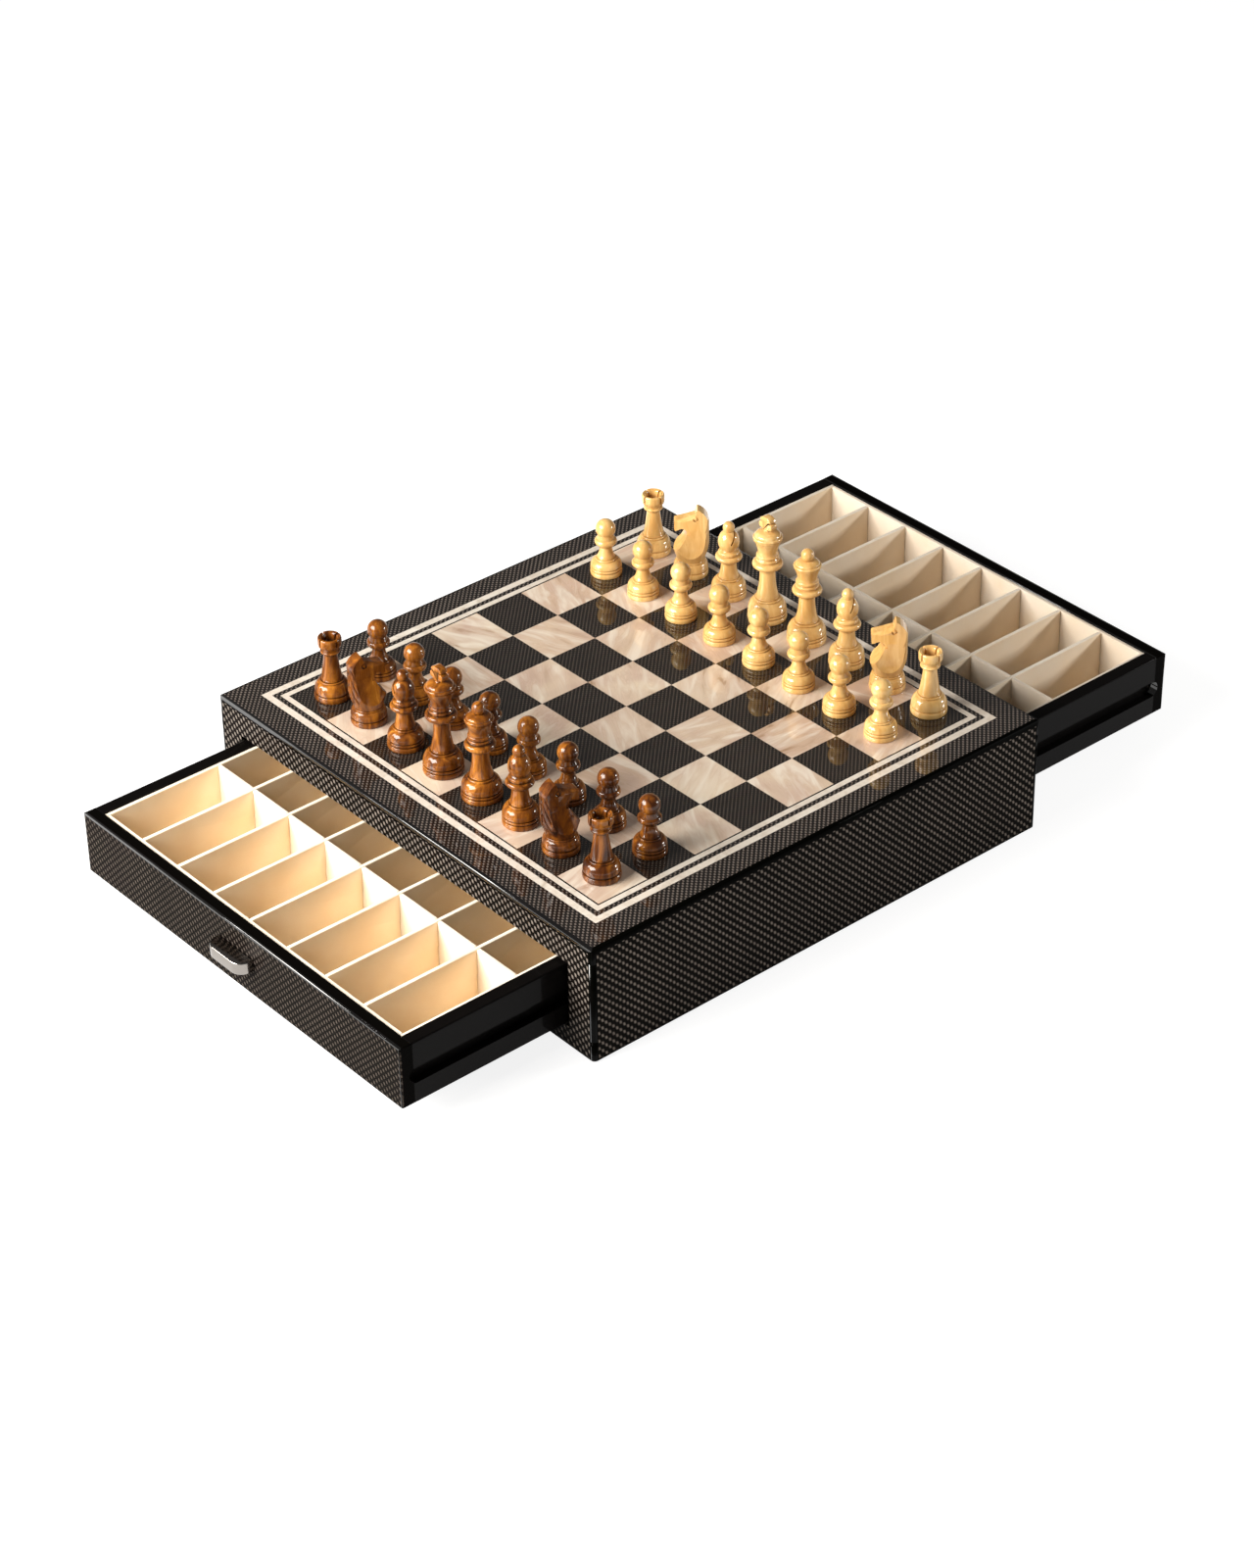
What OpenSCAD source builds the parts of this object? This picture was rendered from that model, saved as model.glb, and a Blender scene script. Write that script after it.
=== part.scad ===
// Chess box: a square playing board on a low case, a drawer with sixteen lined
// compartments at each end, and a full set of turned chessmen on the board.
// Millimetres. The origin is the middle of the underside, +Z is up, the front
// drawer slides out along -Y and the back drawer along +Y.

/* [Board] */
// Side of one square
square = 41; // [36:0.5:50]
// Thin dark line between the squares and the inner inlay
field_line_w = 1.2; // [0.6:0.1:3]
// Width of the inner inlay line
inner_inlay_w = 4.3; // [2:0.1:8]
// Width of the dark band between the two inlay lines
between_w = 4.1; // [2:0.1:10]
// Width of the outer inlay line
outer_inlay_w = 5.3; // [2:0.1:10]
// Width of the veneered border outside the inlay lines
border_w = 15.6; // [10:0.1:40]
// Width of the bare lacquered edge round the border
edge_band_w = 5.5; // [4:0.1:12]
// Thickness of every veneer and inlay on the board
veneer_t = 0.8; // [0.5:0.1:2]

/* [Case] */
// Height of the case from the table to the board
case_h = 90; // [74:1:120]
// Thickness of the panel that carries the board
top_t = 12; // [8:0.5:20]
// Thickness of the base panel
base_t = 15; // [9:0.5:20]
// Thickness of the felt under the base
felt_t = 1.5; // [1:0.5:4]
// Distance from the edge of the base to the felt
felt_inset = 6; // [3:1:30]
// Thickness of the two side walls
wall_t = 24.5; // [18:0.5:32]
// Height of the rail over each drawer opening
rail_h = 10.7; // [6:0.1:20]
// Depth of the rail over each drawer opening
rail_d = 18; // [10:1:30]
// Thickness of the partition between the two drawers
partition_t = 8; // [5:1:16]
// Radius of the eased edges and corners of the case
edge_r = 3; // [1:0.5:5]

/* [Drawers] */
// How far the front drawer stands open
front_open = 133; // [0:1:150]
// How far the back drawer stands open
back_open = 156; // [0:1:160]
// Thickness of the drawer front, sides and back
board_t = 10; // [9:0.5:14]
// Thickness of the drawer bottom
bottom_t = 4; // [3:0.5:8]
// Gap between the drawer and its opening, at each side
side_gap = 2.5; // [1:0.1:5]
// Gap between the drawer and its opening, above
top_gap = 2.3; // [1:0.1:6]
// Gap between the drawer and its opening, below
under_gap = 2; // [1:0.1:6]
// Gap between a closed drawer and the partition
back_gap = 6; // [3:1:15]
// Radius of the eased rim and corners of a drawer
rim_r = 1.2; // [0.5:0.1:2]

/* [Lining] */
// Thickness of the lining on the drawer walls and of each divider
lining_t = 3; // [2:0.5:5]
// Thickness of the lining on the drawer bottom
pad_t = 2; // [1:0.5:4]
// How far the lining stays below the rim of the drawer
lining_drop = 1; // [0.5:0.5:4]
// Length of the long compartments behind the drawer front
long_slot = 88.5; // [60:0.5:100]
// Number of compartments side by side
columns = 8; // [4:1:10]
// Clearance in the half-lap joints of the dividers and between the sheets of the lining
lap_gap = 0.1; // [0.05:0.05:0.3]

/* [Runners] */
// Height of the groove in the drawer sides
groove_h = 12.5; // [8:0.5:16]
// Depth of the groove in the drawer sides
groove_d = 6; // [4:0.5:7]
// Height of the groove's lower edge above the underside of the drawer
groove_z = 14.5; // [6:0.5:20]
// Distance from the face of the drawer to the closed end of the groove
groove_front = 6.5; // [5:0.5:12]
// Running clearance above and in front of the runner
run_gap = 0.3; // [0.2:0.1:1]
// Clearance below the runner and beside its tip
loose_gap = 0.6; // [0.3:0.1:1.5]

/* [Pulls] */
// Width of the pull
pull_w = 38; // [24:1:60]
// Height of the pull
pull_h = 9; // [6:0.5:14]
// How far the pull stands out from the drawer
pull_reach = 12; // [8:0.5:16]
// Radius of the pull's two rounded corners
pull_corner = 9; // [4:0.5:9]
// Wall thickness of the pull
pull_t = 1.6; // [1:0.1:2.5]
// Height of the pull's top above the middle of the drawer front
pull_rise = 6.5; // [0:0.5:8]
// Radius of the screws that hold the pull
screw_r = 1.5; // [1:0.1:2]
// Distance between the two screws of the pull
screw_spacing = 22; // [12:1:24]

/* [Chessmen] */
// Height of the king
king_h = 82; // [60:1:110]
// Height of the queen
queen_h = 75; // [55:1:100]
// Height of a bishop
bishop_h = 60; // [45:1:80]
// Height of a knight
knight_h = 54; // [40:1:75]
// Height of a rook
rook_h = 48; // [36:1:66]
// Height of a pawn
pawn_h = 44; // [32:1:60]
// Radius of the base of the king and queen
royal_r = 14.2; // [10:0.1:17]
// Radius of the base of a bishop, a knight and a rook
officer_r = 12.9; // [9:0.1:16]
// Radius of the base of a pawn
pawn_r = 11.7; // [8:0.1:15]
// How far the men stand off the middles of their squares, along X and along Y
men_shift_x = -2; // [-3:0.5:3]
men_shift_y = 1.5; // [-3:0.5:3]
// How much further back the light back rank stands, and the light pawns
light_setback = 6; // [0:1:6]
pawn_setback = 1.5; // [0:0.5:6]
// How far a brown knight and a light one are turned to the drawer's right
brown_knight_turn = 13; // [0:1:45]
light_knight_turn = 40; // [0:1:90]
// How far a light bishop is turned
bishop_turn = 65; // [0:5:90]

/* [Hidden] */
$fn = 96;
lines_w = field_line_w + inner_inlay_w + between_w + outer_inlay_w;
field_half = 4 * square;
case_half = field_half + lines_w + border_w + edge_band_w;
base_z = felt_t;
wall_z = base_z + base_t;
top_z = case_h - top_t;
wall_h = top_z - wall_z;
opening_half = case_half - wall_t;
opening_top = top_z - rail_h;
drawer_half = opening_half - side_gap;
drawer_z = wall_z + under_gap;
rim_z = opening_top - top_gap;
drawer_h = rim_z - drawer_z;
drawer_len = case_half - partition_t / 2 - back_gap;
inner_half = drawer_half - board_t;
floor_z = drawer_z + bottom_t;
pad_z = floor_z + pad_t;
divider_top = rim_z - lining_drop;
divider_h = divider_top - pad_z;
slot_half = inner_half - lining_t;
slot_w = (2 * slot_half - (columns - 1) * lining_t) / columns;
slot_front = board_t + lining_t;
slot_back = drawer_len - board_t - lining_t;
cross_at = slot_front + long_slot;
groove_mid = drawer_z + groove_z + groove_h / 2;
runner_h = groove_h - run_gap - loose_gap;
runner_tip = drawer_half - groove_d + loose_gap;
runner_front = groove_front + run_gap;
pull_top = drawer_z + drawer_h / 2 + pull_rise;
screw_z = pull_top - pull_h / 2;
screw_len = board_t - 2;
head_t = 0.8 * screw_r;
head_r = 1.7 * screw_r;
// Small overshoot that lets a cut pass right through a face
cut = 1;

LIGHT = "#e3c083";
BROWN = "#6b3c1c";
BLACK = "#141212";
CARBON = "#2b2827";
PEARL = "#d9c8ba";
IVORY = "#e9dcc6";
LINING = "#e6d6bd";
FELT = "#2a2a2a";
CHROME = "silver";
BEECH = "#b08a5a";

// The files of the board, from -X to +X, and the man that starts on each
FILES = ["a", "b", "c", "d", "e", "f", "g", "h"];
RANK = ["rook", "knight", "bishop", "king", "queen", "bishop", "knight", "rook"];

CASE_NODES = [
    "base_felt", "base_panel", "side_wall_left", "side_wall_right", "top_panel", "top_rails",
    "centre_partition", "runners", "carbon_veneer", "inlay_lines", "pearl_squares", "carbon_squares"
];
DRAWER_NODES = [
    "drawer_front", "drawer_sides", "drawer_back", "drawer_bottom",
    "drawer_lining", "drawer_dividers", "pull", "pull_screws"
];

// Names of the men's nodes: the two royals by rank alone, the others with their file
function rank_node(side, i) =
    RANK[i] == "king" || RANK[i] == "queen" ? str(side, "_", RANK[i])
                                            : str(side, "_", RANK[i], "_", FILES[i]);
function pawn_node(side, i) = str(side, "_pawn_", FILES[i]);

// ---------------------------------------------------------------- flat shapes

// Rectangle centred on the origin with rounded corners
module rounded_rect(w, d, r) {
    square([w - 2 * r, d], center = true);
    square([w, d - 2 * r], center = true);
    for (x = [-1, 1], y = [-1, 1])
        translate([x * (w / 2 - r), y * (d / 2 - r)])
            circle(r);
}

// Upright outline, w wide and h high, with its two upper corners rounded
module crowned_rect(w, h, r) {
    translate([-w / 2, 0])
        square([w, h - r]);
    translate([-w / 2 + r, 0])
        square([w - 2 * r, h]);
    for (x = [-1, 1])
        translate([x * (w / 2 - r), h - r])
            circle(r);
}

// Upright section of a drawer wall, its outer face on x = 0, with that face's upper corner eased
module eased_section(t, h) {
    square([t, h - rim_r]);
    translate([rim_r, 0])
        square([t - rim_r, h]);
    translate([rim_r, h - rim_r])
        circle(rim_r);
}

// Half-moon outline of the pull, its straight edge on y = 0, with its two front corners rounded
module half_moon(w, d, r) {
    intersection() {
        translate([-w / 2, -d])
            square([w, d]);
        union() {
            translate([-w / 2, r - d])
                square([w, d]);
            translate([r - w / 2, -d])
                square([w - 2 * r, d]);
            for (x = [-1, 1])
                translate([x * (w / 2 - r), r - d])
                    circle(r);
        }
    }
}

// Square ring between two half widths
module square_ring(outer, inner) {
    difference() {
        square(2 * outer, center = true);
        square(2 * inner, center = true);
    }
}

// ---------------------------------------------------------------------- case

// The plan outline of the case, drawn at full height of a part
module case_plan(h) {
    linear_extrude(h)
        rounded_rect(2 * case_half, 2 * case_half, edge_r);
}

module base_felt() {
    color(FELT)
        linear_extrude(felt_t)
            square(2 * (case_half - felt_inset), center = true);
}

module base_panel() {
    color(BLACK)
        translate([0, 0, base_z])
            case_plan(base_t);
}

// One side wall, on the side given by the sign of X
module side_wall(side) {
    color(CARBON)
        translate([0, 0, wall_z])
            intersection() {
                case_plan(wall_h);
                translate([side > 0 ? opening_half : -case_half, -case_half, 0])
                    cube([wall_t, 2 * case_half, wall_h]);
            }
}

module top_rails() {
    color(CARBON)
        for (y = [-case_half, case_half - rail_d])
            translate([-opening_half, y, opening_top])
                cube([2 * opening_half, rail_d, rail_h]);
}

module centre_partition() {
    color(BLACK)
        translate([-opening_half, -partition_t / 2, wall_z])
            cube([2 * opening_half, partition_t, wall_h]);
}

module top_panel() {
    color(BLACK)
        translate([0, 0, top_z])
            difference() {
                intersection() {
                    case_plan(top_t);
                    rotate([90, 0, 0])
                        linear_extrude(2 * case_half, center = true)
                            crowned_rect(2 * case_half, top_t, edge_r);
                    rotate([90, 0, 90])
                        linear_extrude(2 * case_half, center = true)
                            crowned_rect(2 * case_half, top_t, edge_r);
                }
                translate([0, 0, top_t - veneer_t])
                    linear_extrude(veneer_t + cut)
                        square(2 * (case_half - edge_band_w), center = true);
            }
}

// One runner, seen from the front end of its drawer bay, on the side given by the sign of X
module runner(side) {
    reach = opening_half - runner_tip;
    run_len = case_half - runner_front - partition_t / 2;
    translate([side > 0 ? runner_tip : -opening_half, 0, groove_mid + (loose_gap - run_gap) / 2])
        rotate([90, 0, 90])
            linear_extrude(reach) {
                translate([-case_half + runner_front + runner_h / 2, 0])
                    circle(runner_h / 2);
                translate([-case_half + runner_front + runner_h / 2, -runner_h / 2])
                    square([run_len - runner_h / 2, runner_h]);
            }
}

module runners() {
    color(BEECH)
        for (turn = [0, 180], side = [-1, 1])
            rotate([0, 0, turn])
                runner(side);
}

// --------------------------------------------------------------------- board

// A flat shape as a veneer let into the top of the case
module veneer() {
    translate([0, 0, case_h - veneer_t])
        linear_extrude(veneer_t)
            children();
}

module carbon_veneer() {
    outer_edge = field_half + lines_w;
    between_out = outer_edge - outer_inlay_w;
    color(CARBON)
        veneer() {
            square_ring(case_half - edge_band_w, outer_edge);
            square_ring(between_out, between_out - between_w);
            square_ring(field_half + field_line_w, field_half);
        }
}

module inlay_lines() {
    outer_edge = field_half + lines_w;
    inner_edge = field_half + field_line_w;
    color(IVORY)
        veneer() {
            square_ring(outer_edge, outer_edge - outer_inlay_w);
            square_ring(inner_edge + inner_inlay_w, inner_edge);
        }
}

// Every other square of the board, each a solid of its own
module squares(parity) {
    for (i = [0:7], j = [0:7])
        if ((i + j) % 2 == parity)
            translate([(i - 4) * square, (j - 4) * square, case_h - veneer_t])
                cube([square, square, veneer_t]);
}

module pearl_squares() {
    color(PEARL)
        squares(1);
}

module carbon_squares() {
    color(CARBON)
        squares(0);
}

// ------------------------------------------------------------------- drawers

// Puts a drawer, drawn with its face on Y = 0 and its length along +Y, in its bay
module in_bay(end) {
    open = end == "front" ? front_open : back_open;
    rotate([0, 0, end == "front" ? 0 : 180])
        translate([0, -case_half - open, 0])
            children();
}

// The whole outside of a drawer: eased vertical corners at its face
module drawer_plan() {
    linear_extrude(case_h) {
        translate([-drawer_half + rim_r, 0])
            square([2 * (drawer_half - rim_r), drawer_len]);
        translate([-drawer_half, rim_r])
            square([2 * drawer_half, drawer_len - rim_r]);
        for (x = [-1, 1])
            translate([x * (drawer_half - rim_r), rim_r])
                circle(rim_r);
    }
}

module drawer_front(end) {
    color(CARBON)
        in_bay(end)
            difference() {
                intersection() {
                    drawer_plan();
                    translate([-drawer_half, 0, drawer_z])
                        rotate([90, 0, 90])
                            linear_extrude(2 * drawer_half)
                                eased_section(board_t, drawer_h);
                }
                screw_shanks();
                groove_cut(-1);
                groove_cut(1);
            }
}

// The groove in one side of a drawer: open at the back, round and closed at the front
module groove_cut(side) {
    start = groove_front + groove_h / 2;
    translate([side > 0 ? drawer_half - groove_d : -drawer_half - cut, 0, groove_mid])
        rotate([90, 0, 90])
            linear_extrude(groove_d + cut) {
                translate([start, 0])
                    circle(groove_h / 2);
                translate([start, -groove_h / 2])
                    square([drawer_len - start + cut, groove_h]);
            }
}

module drawer_sides(end) {
    color(BLACK)
        in_bay(end)
            for (side = [-1, 1])
                difference() {
                    translate([side * drawer_half, drawer_len, drawer_z])
                        mirror([side > 0 ? 1 : 0, 0, 0])
                            rotate([90, 0, 0])
                                linear_extrude(drawer_len - board_t)
                                    eased_section(board_t, drawer_h);
                    groove_cut(side);
                }
}

module drawer_back(end) {
    color(BLACK)
        in_bay(end)
            translate([-inner_half, drawer_len - board_t, drawer_z])
                cube([2 * inner_half, board_t, drawer_h]);
}

module drawer_bottom(end) {
    color(BLACK)
        in_bay(end)
            translate([-inner_half, board_t, drawer_z])
                cube([2 * inner_half, drawer_len - 2 * board_t, bottom_t]);
}

// Lining of the drawer: a sheet on each wall, and a pad between them on the bottom
module drawer_lining(end) {
    clear_len = drawer_len - 2 * board_t;
    sheet_h = divider_top - floor_z;
    pad_half = slot_half - lap_gap;
    color(LINING)
        in_bay(end) {
            translate([-pad_half, slot_front + lap_gap, floor_z])
                cube([2 * pad_half, slot_back - slot_front - 2 * lap_gap, pad_t]);
            for (x = [-inner_half, inner_half - lining_t])
                translate([x, board_t, floor_z])
                    cube([lining_t, clear_len, sheet_h]);
            for (y = [board_t, drawer_len - board_t - lining_t])
                translate([-pad_half, y, floor_z])
                    cube([2 * pad_half, lining_t, sheet_h]);
        }
}

// Dividers that halve into each other: the long ones are cut from below and the
// cross divider from above
module drawer_dividers(end) {
    lap_h = divider_h / 2 + lap_gap;
    lap_w = lining_t + 2 * lap_gap;
    color(LINING)
        in_bay(end) {
            for (i = [1:columns - 1])
                difference() {
                    translate([divider_x(i), slot_front + lap_gap, pad_z])
                        cube([lining_t, slot_back - slot_front - 2 * lap_gap, divider_h]);
                    translate([divider_x(i) - cut, cross_at - lap_gap, pad_z - cut])
                        cube([lining_t + 2 * cut, lap_w, lap_h + cut]);
                }
            difference() {
                translate([-slot_half + lap_gap, cross_at, pad_z])
                    cube([2 * (slot_half - lap_gap), lining_t, divider_h]);
                for (i = [1:columns - 1])
                    translate([divider_x(i) - lap_gap, cross_at - cut, divider_top - lap_h])
                        cube([lap_w, lining_t + 2 * cut, lap_h + cut]);
            }
        }
}

// Low X of divider i, counted from 1
function divider_x(i) = -slot_half + i * slot_w + (i - 1) * lining_t;

// ---------------------------------------------------------------------- pulls

// Half-moon pull: a flat top, a skirt that follows its round front, and a plate on the
// drawer, hollow below for a fingertip
module pull(end) {
    color(CHROME)
        in_bay(end)
            difference() {
                translate([0, 0, pull_top - pull_h])
                    linear_extrude(pull_h)
                        half_moon(pull_w, pull_reach, pull_corner);
                translate([0, -pull_t, pull_top - pull_h - cut])
                    linear_extrude(pull_h - pull_t + cut)
                        half_moon(pull_w - 2 * pull_t, pull_reach - 2 * pull_t, pull_corner - pull_t);
                screw_shanks();
            }
}

// Shanks of the two screws, from the inside of the pull's plate into the drawer front
module screw_shanks() {
    for (x = [-1, 1])
        translate([x * screw_spacing / 2, -pull_t, screw_z])
            rotate([-90, 0, 0])
                cylinder(h = pull_t + screw_len, r = screw_r);
}

module pull_screws(end) {
    color(CHROME)
        in_bay(end) {
            screw_shanks();
            for (x = [-1, 1])
                translate([x * screw_spacing / 2, -pull_t, screw_z])
                    rotate([90, 0, 0])
                        cylinder(h = head_t, r1 = head_r, r2 = screw_r);
        }
}

// ------------------------------------------------------------------- chessmen
// A man is a turned profile. Its radii are shares of the radius of its base and its
// heights are shares of its own height, so each man keeps its figure at any size.

// Points of an elliptical arc about [x, z]
function arc(x, z, rx, rz, from, to, n) =
    [for (i = [0:n]) let (a = from + (to - from) * i / n) [x + rx * cos(a), z + rz * sin(a)]];

// Ring with a rounded edge of radius r, from height z to z + h, standing out by d
function bead(r, z, h, d) = arc(r - d, z + h / 2, d, h / 2, -90, 90, 6);

// Stem from radius r0 at z0 to radius r1 at z1, whose slope dies away upwards
function stem(r0, z0, r1, z1) =
    [for (i = [0:8]) let (t = i / 8) [r1 + (r0 - r1) * pow(1 - t, 2.2), z0 + (z1 - z0) * t]];

// Cup from radius r0 at z0 that opens to radius r1 at z1
function cup(r0, z0, r1, z1) =
    [for (i = [0:6]) let (t = i / 6) [r0 + (r1 - r0) * pow(t, 1.6), z0 + (z1 - z0) * t]];

// Foot, second ring (or none), rounded shoulder and two rings of height edge at its top,
// that every man stands on
function pedestal(foot, ring, shoulder, neck_r, edge) =
    let (rise = 1.16 * foot, low = rise + (ring > 0 ? ring + 0.15 * foot : 0))
    concat(
        [[0, 0]],
        bead(1, 0, foot, 0.05),
        [[0.935, 1.03 * foot], [0.935, 1.13 * foot]],
        ring > 0 ? bead(0.985, rise, ring, 0.035) : [],
        ring > 0 ? [[0.935, rise + ring + 0.03 * foot], [0.935, low - 0.03 * foot]] : [],
        arc(neck_r, low, 0.975 - neck_r, shoulder - low, 5, 85, 8),
        bead(neck_r + 0.05, shoulder, edge, 0.04),
        bead(neck_r - 0.05, shoulder + 1.2 * edge, 0.8 * edge, 0.03)
    );

// Wide ring on a sloping underside, its middle at height z
function collar(r, z, h, under_r) = concat([[under_r, z - h]], bead(r, z - h / 2, h, 0.14));

function king_profile() = concat(
    pedestal(0.048, 0.02, 0.19, 0.63, 0.016),
    stem(0.56, 0.226, 0.395, 0.46),
    collar(0.775, 0.54, 0.055, 0.42),
    bead(0.6, 0.578, 0.024, 0.05),
    bead(0.575, 0.61, 0.03, 0.05),
    cup(0.49, 0.655, 0.73, 0.785),
    bead(0.745, 0.788, 0.028, 0.06),
    arc(0.2, 0.818, 0.46, 0.045, 0, 85, 6),
    [[0.2, 0.87], [0, 0.87]]
);

function queen_profile() = concat(
    pedestal(0.052, 0.022, 0.2, 0.63, 0.018),
    stem(0.56, 0.238, 0.4, 0.48),
    collar(0.75, 0.548, 0.06, 0.43),
    bead(0.59, 0.592, 0.026, 0.05),
    bead(0.57, 0.627, 0.032, 0.05),
    cup(0.49, 0.672, 0.68, 0.795),
    bead(0.7, 0.798, 0.028, 0.06),
    arc(0.16, 0.828, 0.45, 0.04, 0, 80, 6),
    arc(0, 0.918, 0.33, 0.066, -50, 90, 12)
);

function bishop_profile() = concat(
    pedestal(0.065, 0.028, 0.235, 0.62, 0.022),
    stem(0.55, 0.283, 0.435, 0.45),
    collar(0.755, 0.53, 0.065, 0.46),
    bead(0.6, 0.572, 0.04, 0.05),
    [[0.5, 0.618]],
    arc(0, 0.738, 0.6, 0.155, -42, 62, 12),
    arc(0, 0.922, 0.33, 0.078, -35, 90, 10)
);

function rook_profile() = concat(
    pedestal(0.095, 0, 0.275, 0.64, 0.026),
    [for (i = [0:6]) let (t = i / 6) [0.37 + 0.2 * pow(1 - t, 1.3), 0.33 + 0.39 * t]],
    bead(0.54, 0.75, 0.036, 0.05),
    cup(0.47, 0.792, 0.62, 0.86),
    [[0.645, 0.89], [0.645, 0.97], [0.62, 0.995], [0.58, 1], [0.48, 0.99], [0.42, 0.96],
     [0.38, 0.9], [0.3, 0.87], [0, 0.86]]
);

function pawn_profile() = concat(
    pedestal(0.085, 0.04, 0.272, 0.62, 0.026),
    stem(0.55, 0.33, 0.385, 0.5),
    collar(0.695, 0.605, 0.1, 0.43),
    [[0.52, 0.69]],
    arc(0, 0.832, 0.625, 0.168, -38, 90, 14)
);

function knight_profile() = concat(
    pedestal(0.079, 0, 0.211, 0.78, 0.024),
    [[0.66, 0.268], [0, 0.268]]
);

// Side outline of the knight's head, looking towards +X with its nose to +Y, in shares
// of the radius of the base and of the height: chest, throat, jaw, muzzle, forehead, ear
// and back
KNIGHT = [
    [-1.124, 0.207], [1.124, 0.207], [1.124, 0.337], [0.984, 0.374], [0.884, 0.415],
    [0.698, 0.459], [0.543, 0.5], [0.357, 0.578], [0.202, 0.659], [0.233, 0.696],
    [0.341, 0.726], [0.496, 0.733], [0.651, 0.719], [0.806, 0.693], [0.907, 0.691],
    [0.93, 0.731], [0.93, 0.806], [0.876, 0.841], [0.651, 0.856], [0.31, 0.874],
    [0.078, 0.9], [-0.155, 0.919], [-0.271, 0.924], [-0.357, 1], [-0.566, 0.976],
    [-0.783, 0.928], [-0.953, 0.863], [-1.062, 0.789], [-1.124, 0.704]
];

// Profile of the turned blank that the head is carved from, and half of the front outline
// that its two sides are planed to, from the foot up, both in the same shares
BLANK = [
    [0, 0.222], [0.7, 0.222], [0.8, 0.245], [0.84, 0.285], [0.92, 0.344], [0.99, 0.404],
    [1.03, 0.472], [1.03, 1.02], [0, 1.02]
];
PLANED = [
    [1.06, 0.2], [0.94, 0.296], [0.82, 0.37], [0.72, 0.463], [0.645, 0.574], [0.55, 0.76],
    [0.35, 1.03]
];

// A half outline from the foot up, and its mirror image back down
function both_halves(half) =
    concat(half, [for (i = [len(half) - 1:-1:0]) [-half[i][0], half[i][1]]]);

// Front outline of the king's cross, in shares of its half width and of its height
CROSS = [
    [-0.42, 0], [0.42, 0], [0.34, 0.14], [0.9, 0.2], [1, 0.36], [0.94, 0.56], [0.4, 0.62],
    [0.86, 0.72], [0.7, 0.9], [0.36, 1], [-0.36, 1], [-0.7, 0.9], [-0.86, 0.72], [-0.4, 0.62],
    [-0.94, 0.56], [-1, 0.36], [-0.9, 0.2], [-0.34, 0.14]
];

// A turned man of base radius r and height h
module turned(profile, r, h) {
    rotate_extrude()
        polygon([for (p = profile) [p[0] * r, p[1] * h]]);
}

// Upright plate of thickness t, cut to an outline that lies across X or along it
module upright(outline, r, h, t) {
    rotate([90, 0, 0])
        linear_extrude(t, center = true)
            polygon([for (p = outline) [p[0] * r, p[1] * h]]);
}

module king() {
    cross_z = 0.865 * king_h;
    turned(king_profile(), royal_r, king_h);
    translate([0, 0, cross_z])
        upright(CROSS, 0.46 * royal_r, king_h - cross_z, 0.4 * royal_r);
}

module queen() {
    turned(queen_profile(), royal_r, queen_h);
}

// The slit is on the man's -X side and slopes down into its head
module bishop() {
    slit_w = 0.09 * officer_r;
    difference() {
        turned(bishop_profile(), officer_r, bishop_h);
        translate([0, 0, 0.735 * bishop_h])
            rotate([0, 62, 0])
                translate([-1.4 * officer_r, -officer_r, 0])
                    cube([1.4 * officer_r, 2 * officer_r, slit_w]);
    }
}

// The head is sawn to its side outline from a turned blank planed on both sides; each
// eye is a drilled ring
module knight() {
    eye_r = 0.11 * officer_r;
    turned(knight_profile(), officer_r, knight_h);
    difference() {
        intersection() {
            turned(BLANK, officer_r, knight_h);
            rotate([0, 0, 90])
                upright(KNIGHT, officer_r, knight_h, 2.4 * officer_r);
            upright(both_halves(PLANED), officer_r, knight_h, 2.4 * officer_r);
        }
        for (side = [-1, 1])
            translate([side * 0.41 * officer_r, -0.28 * officer_r, 0.87 * knight_h])
                rotate([0, side * 90, 0])
                    difference() {
                        cylinder(h = officer_r, r = eye_r);
                        translate([0, 0, -cut])
                            cylinder(h = officer_r + 2 * cut, r = 0.6 * eye_r);
                    }
    }
}

module rook() {
    slot = 0.11 * officer_r;
    difference() {
        turned(rook_profile(), officer_r, rook_h);
        for (turn = [0, 90])
            rotate([0, 0, turn])
                translate([-officer_r, -slot / 2, 0.89 * rook_h])
                    cube([2 * officer_r, slot, rook_h]);
    }
}

module pawn() {
    turned(pawn_profile(), pawn_r, pawn_h);
}

// The man called by its name
module man(name) {
    if (name == "king") king();
    if (name == "queen") queen();
    if (name == "bishop") bishop();
    if (name == "knight") knight();
    if (name == "rook") rook();
    if (name == "pawn") pawn();
}

// How far a man's own front is turned from the other side's
function own_turn(side, name) =
    name == "knight" ? (side == "brown" ? -brown_knight_turn : -light_knight_turn)
    : name == "bishop" && side == "light" ? bishop_turn : 0;

// How much further back a man stands than the brown ones do
function setback(side, name) =
    side == "brown" ? 0 : name == "pawn" ? pawn_setback : light_setback;

// Stands the man called by its name on file i of row j, counted from the front
module on_square(side, i, j, name) {
    color(side == "brown" ? BROWN : LIGHT)
        translate([
            (i - 3.5) * square + men_shift_x,
            (j - 3.5) * square + men_shift_y + setback(side, name),
            case_h
        ])
            rotate([0, 0, (side == "brown" ? 0 : 180) + own_turn(side, name)])
                man(name);
}

// ----------------------------------------------------------------- assembly

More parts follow.
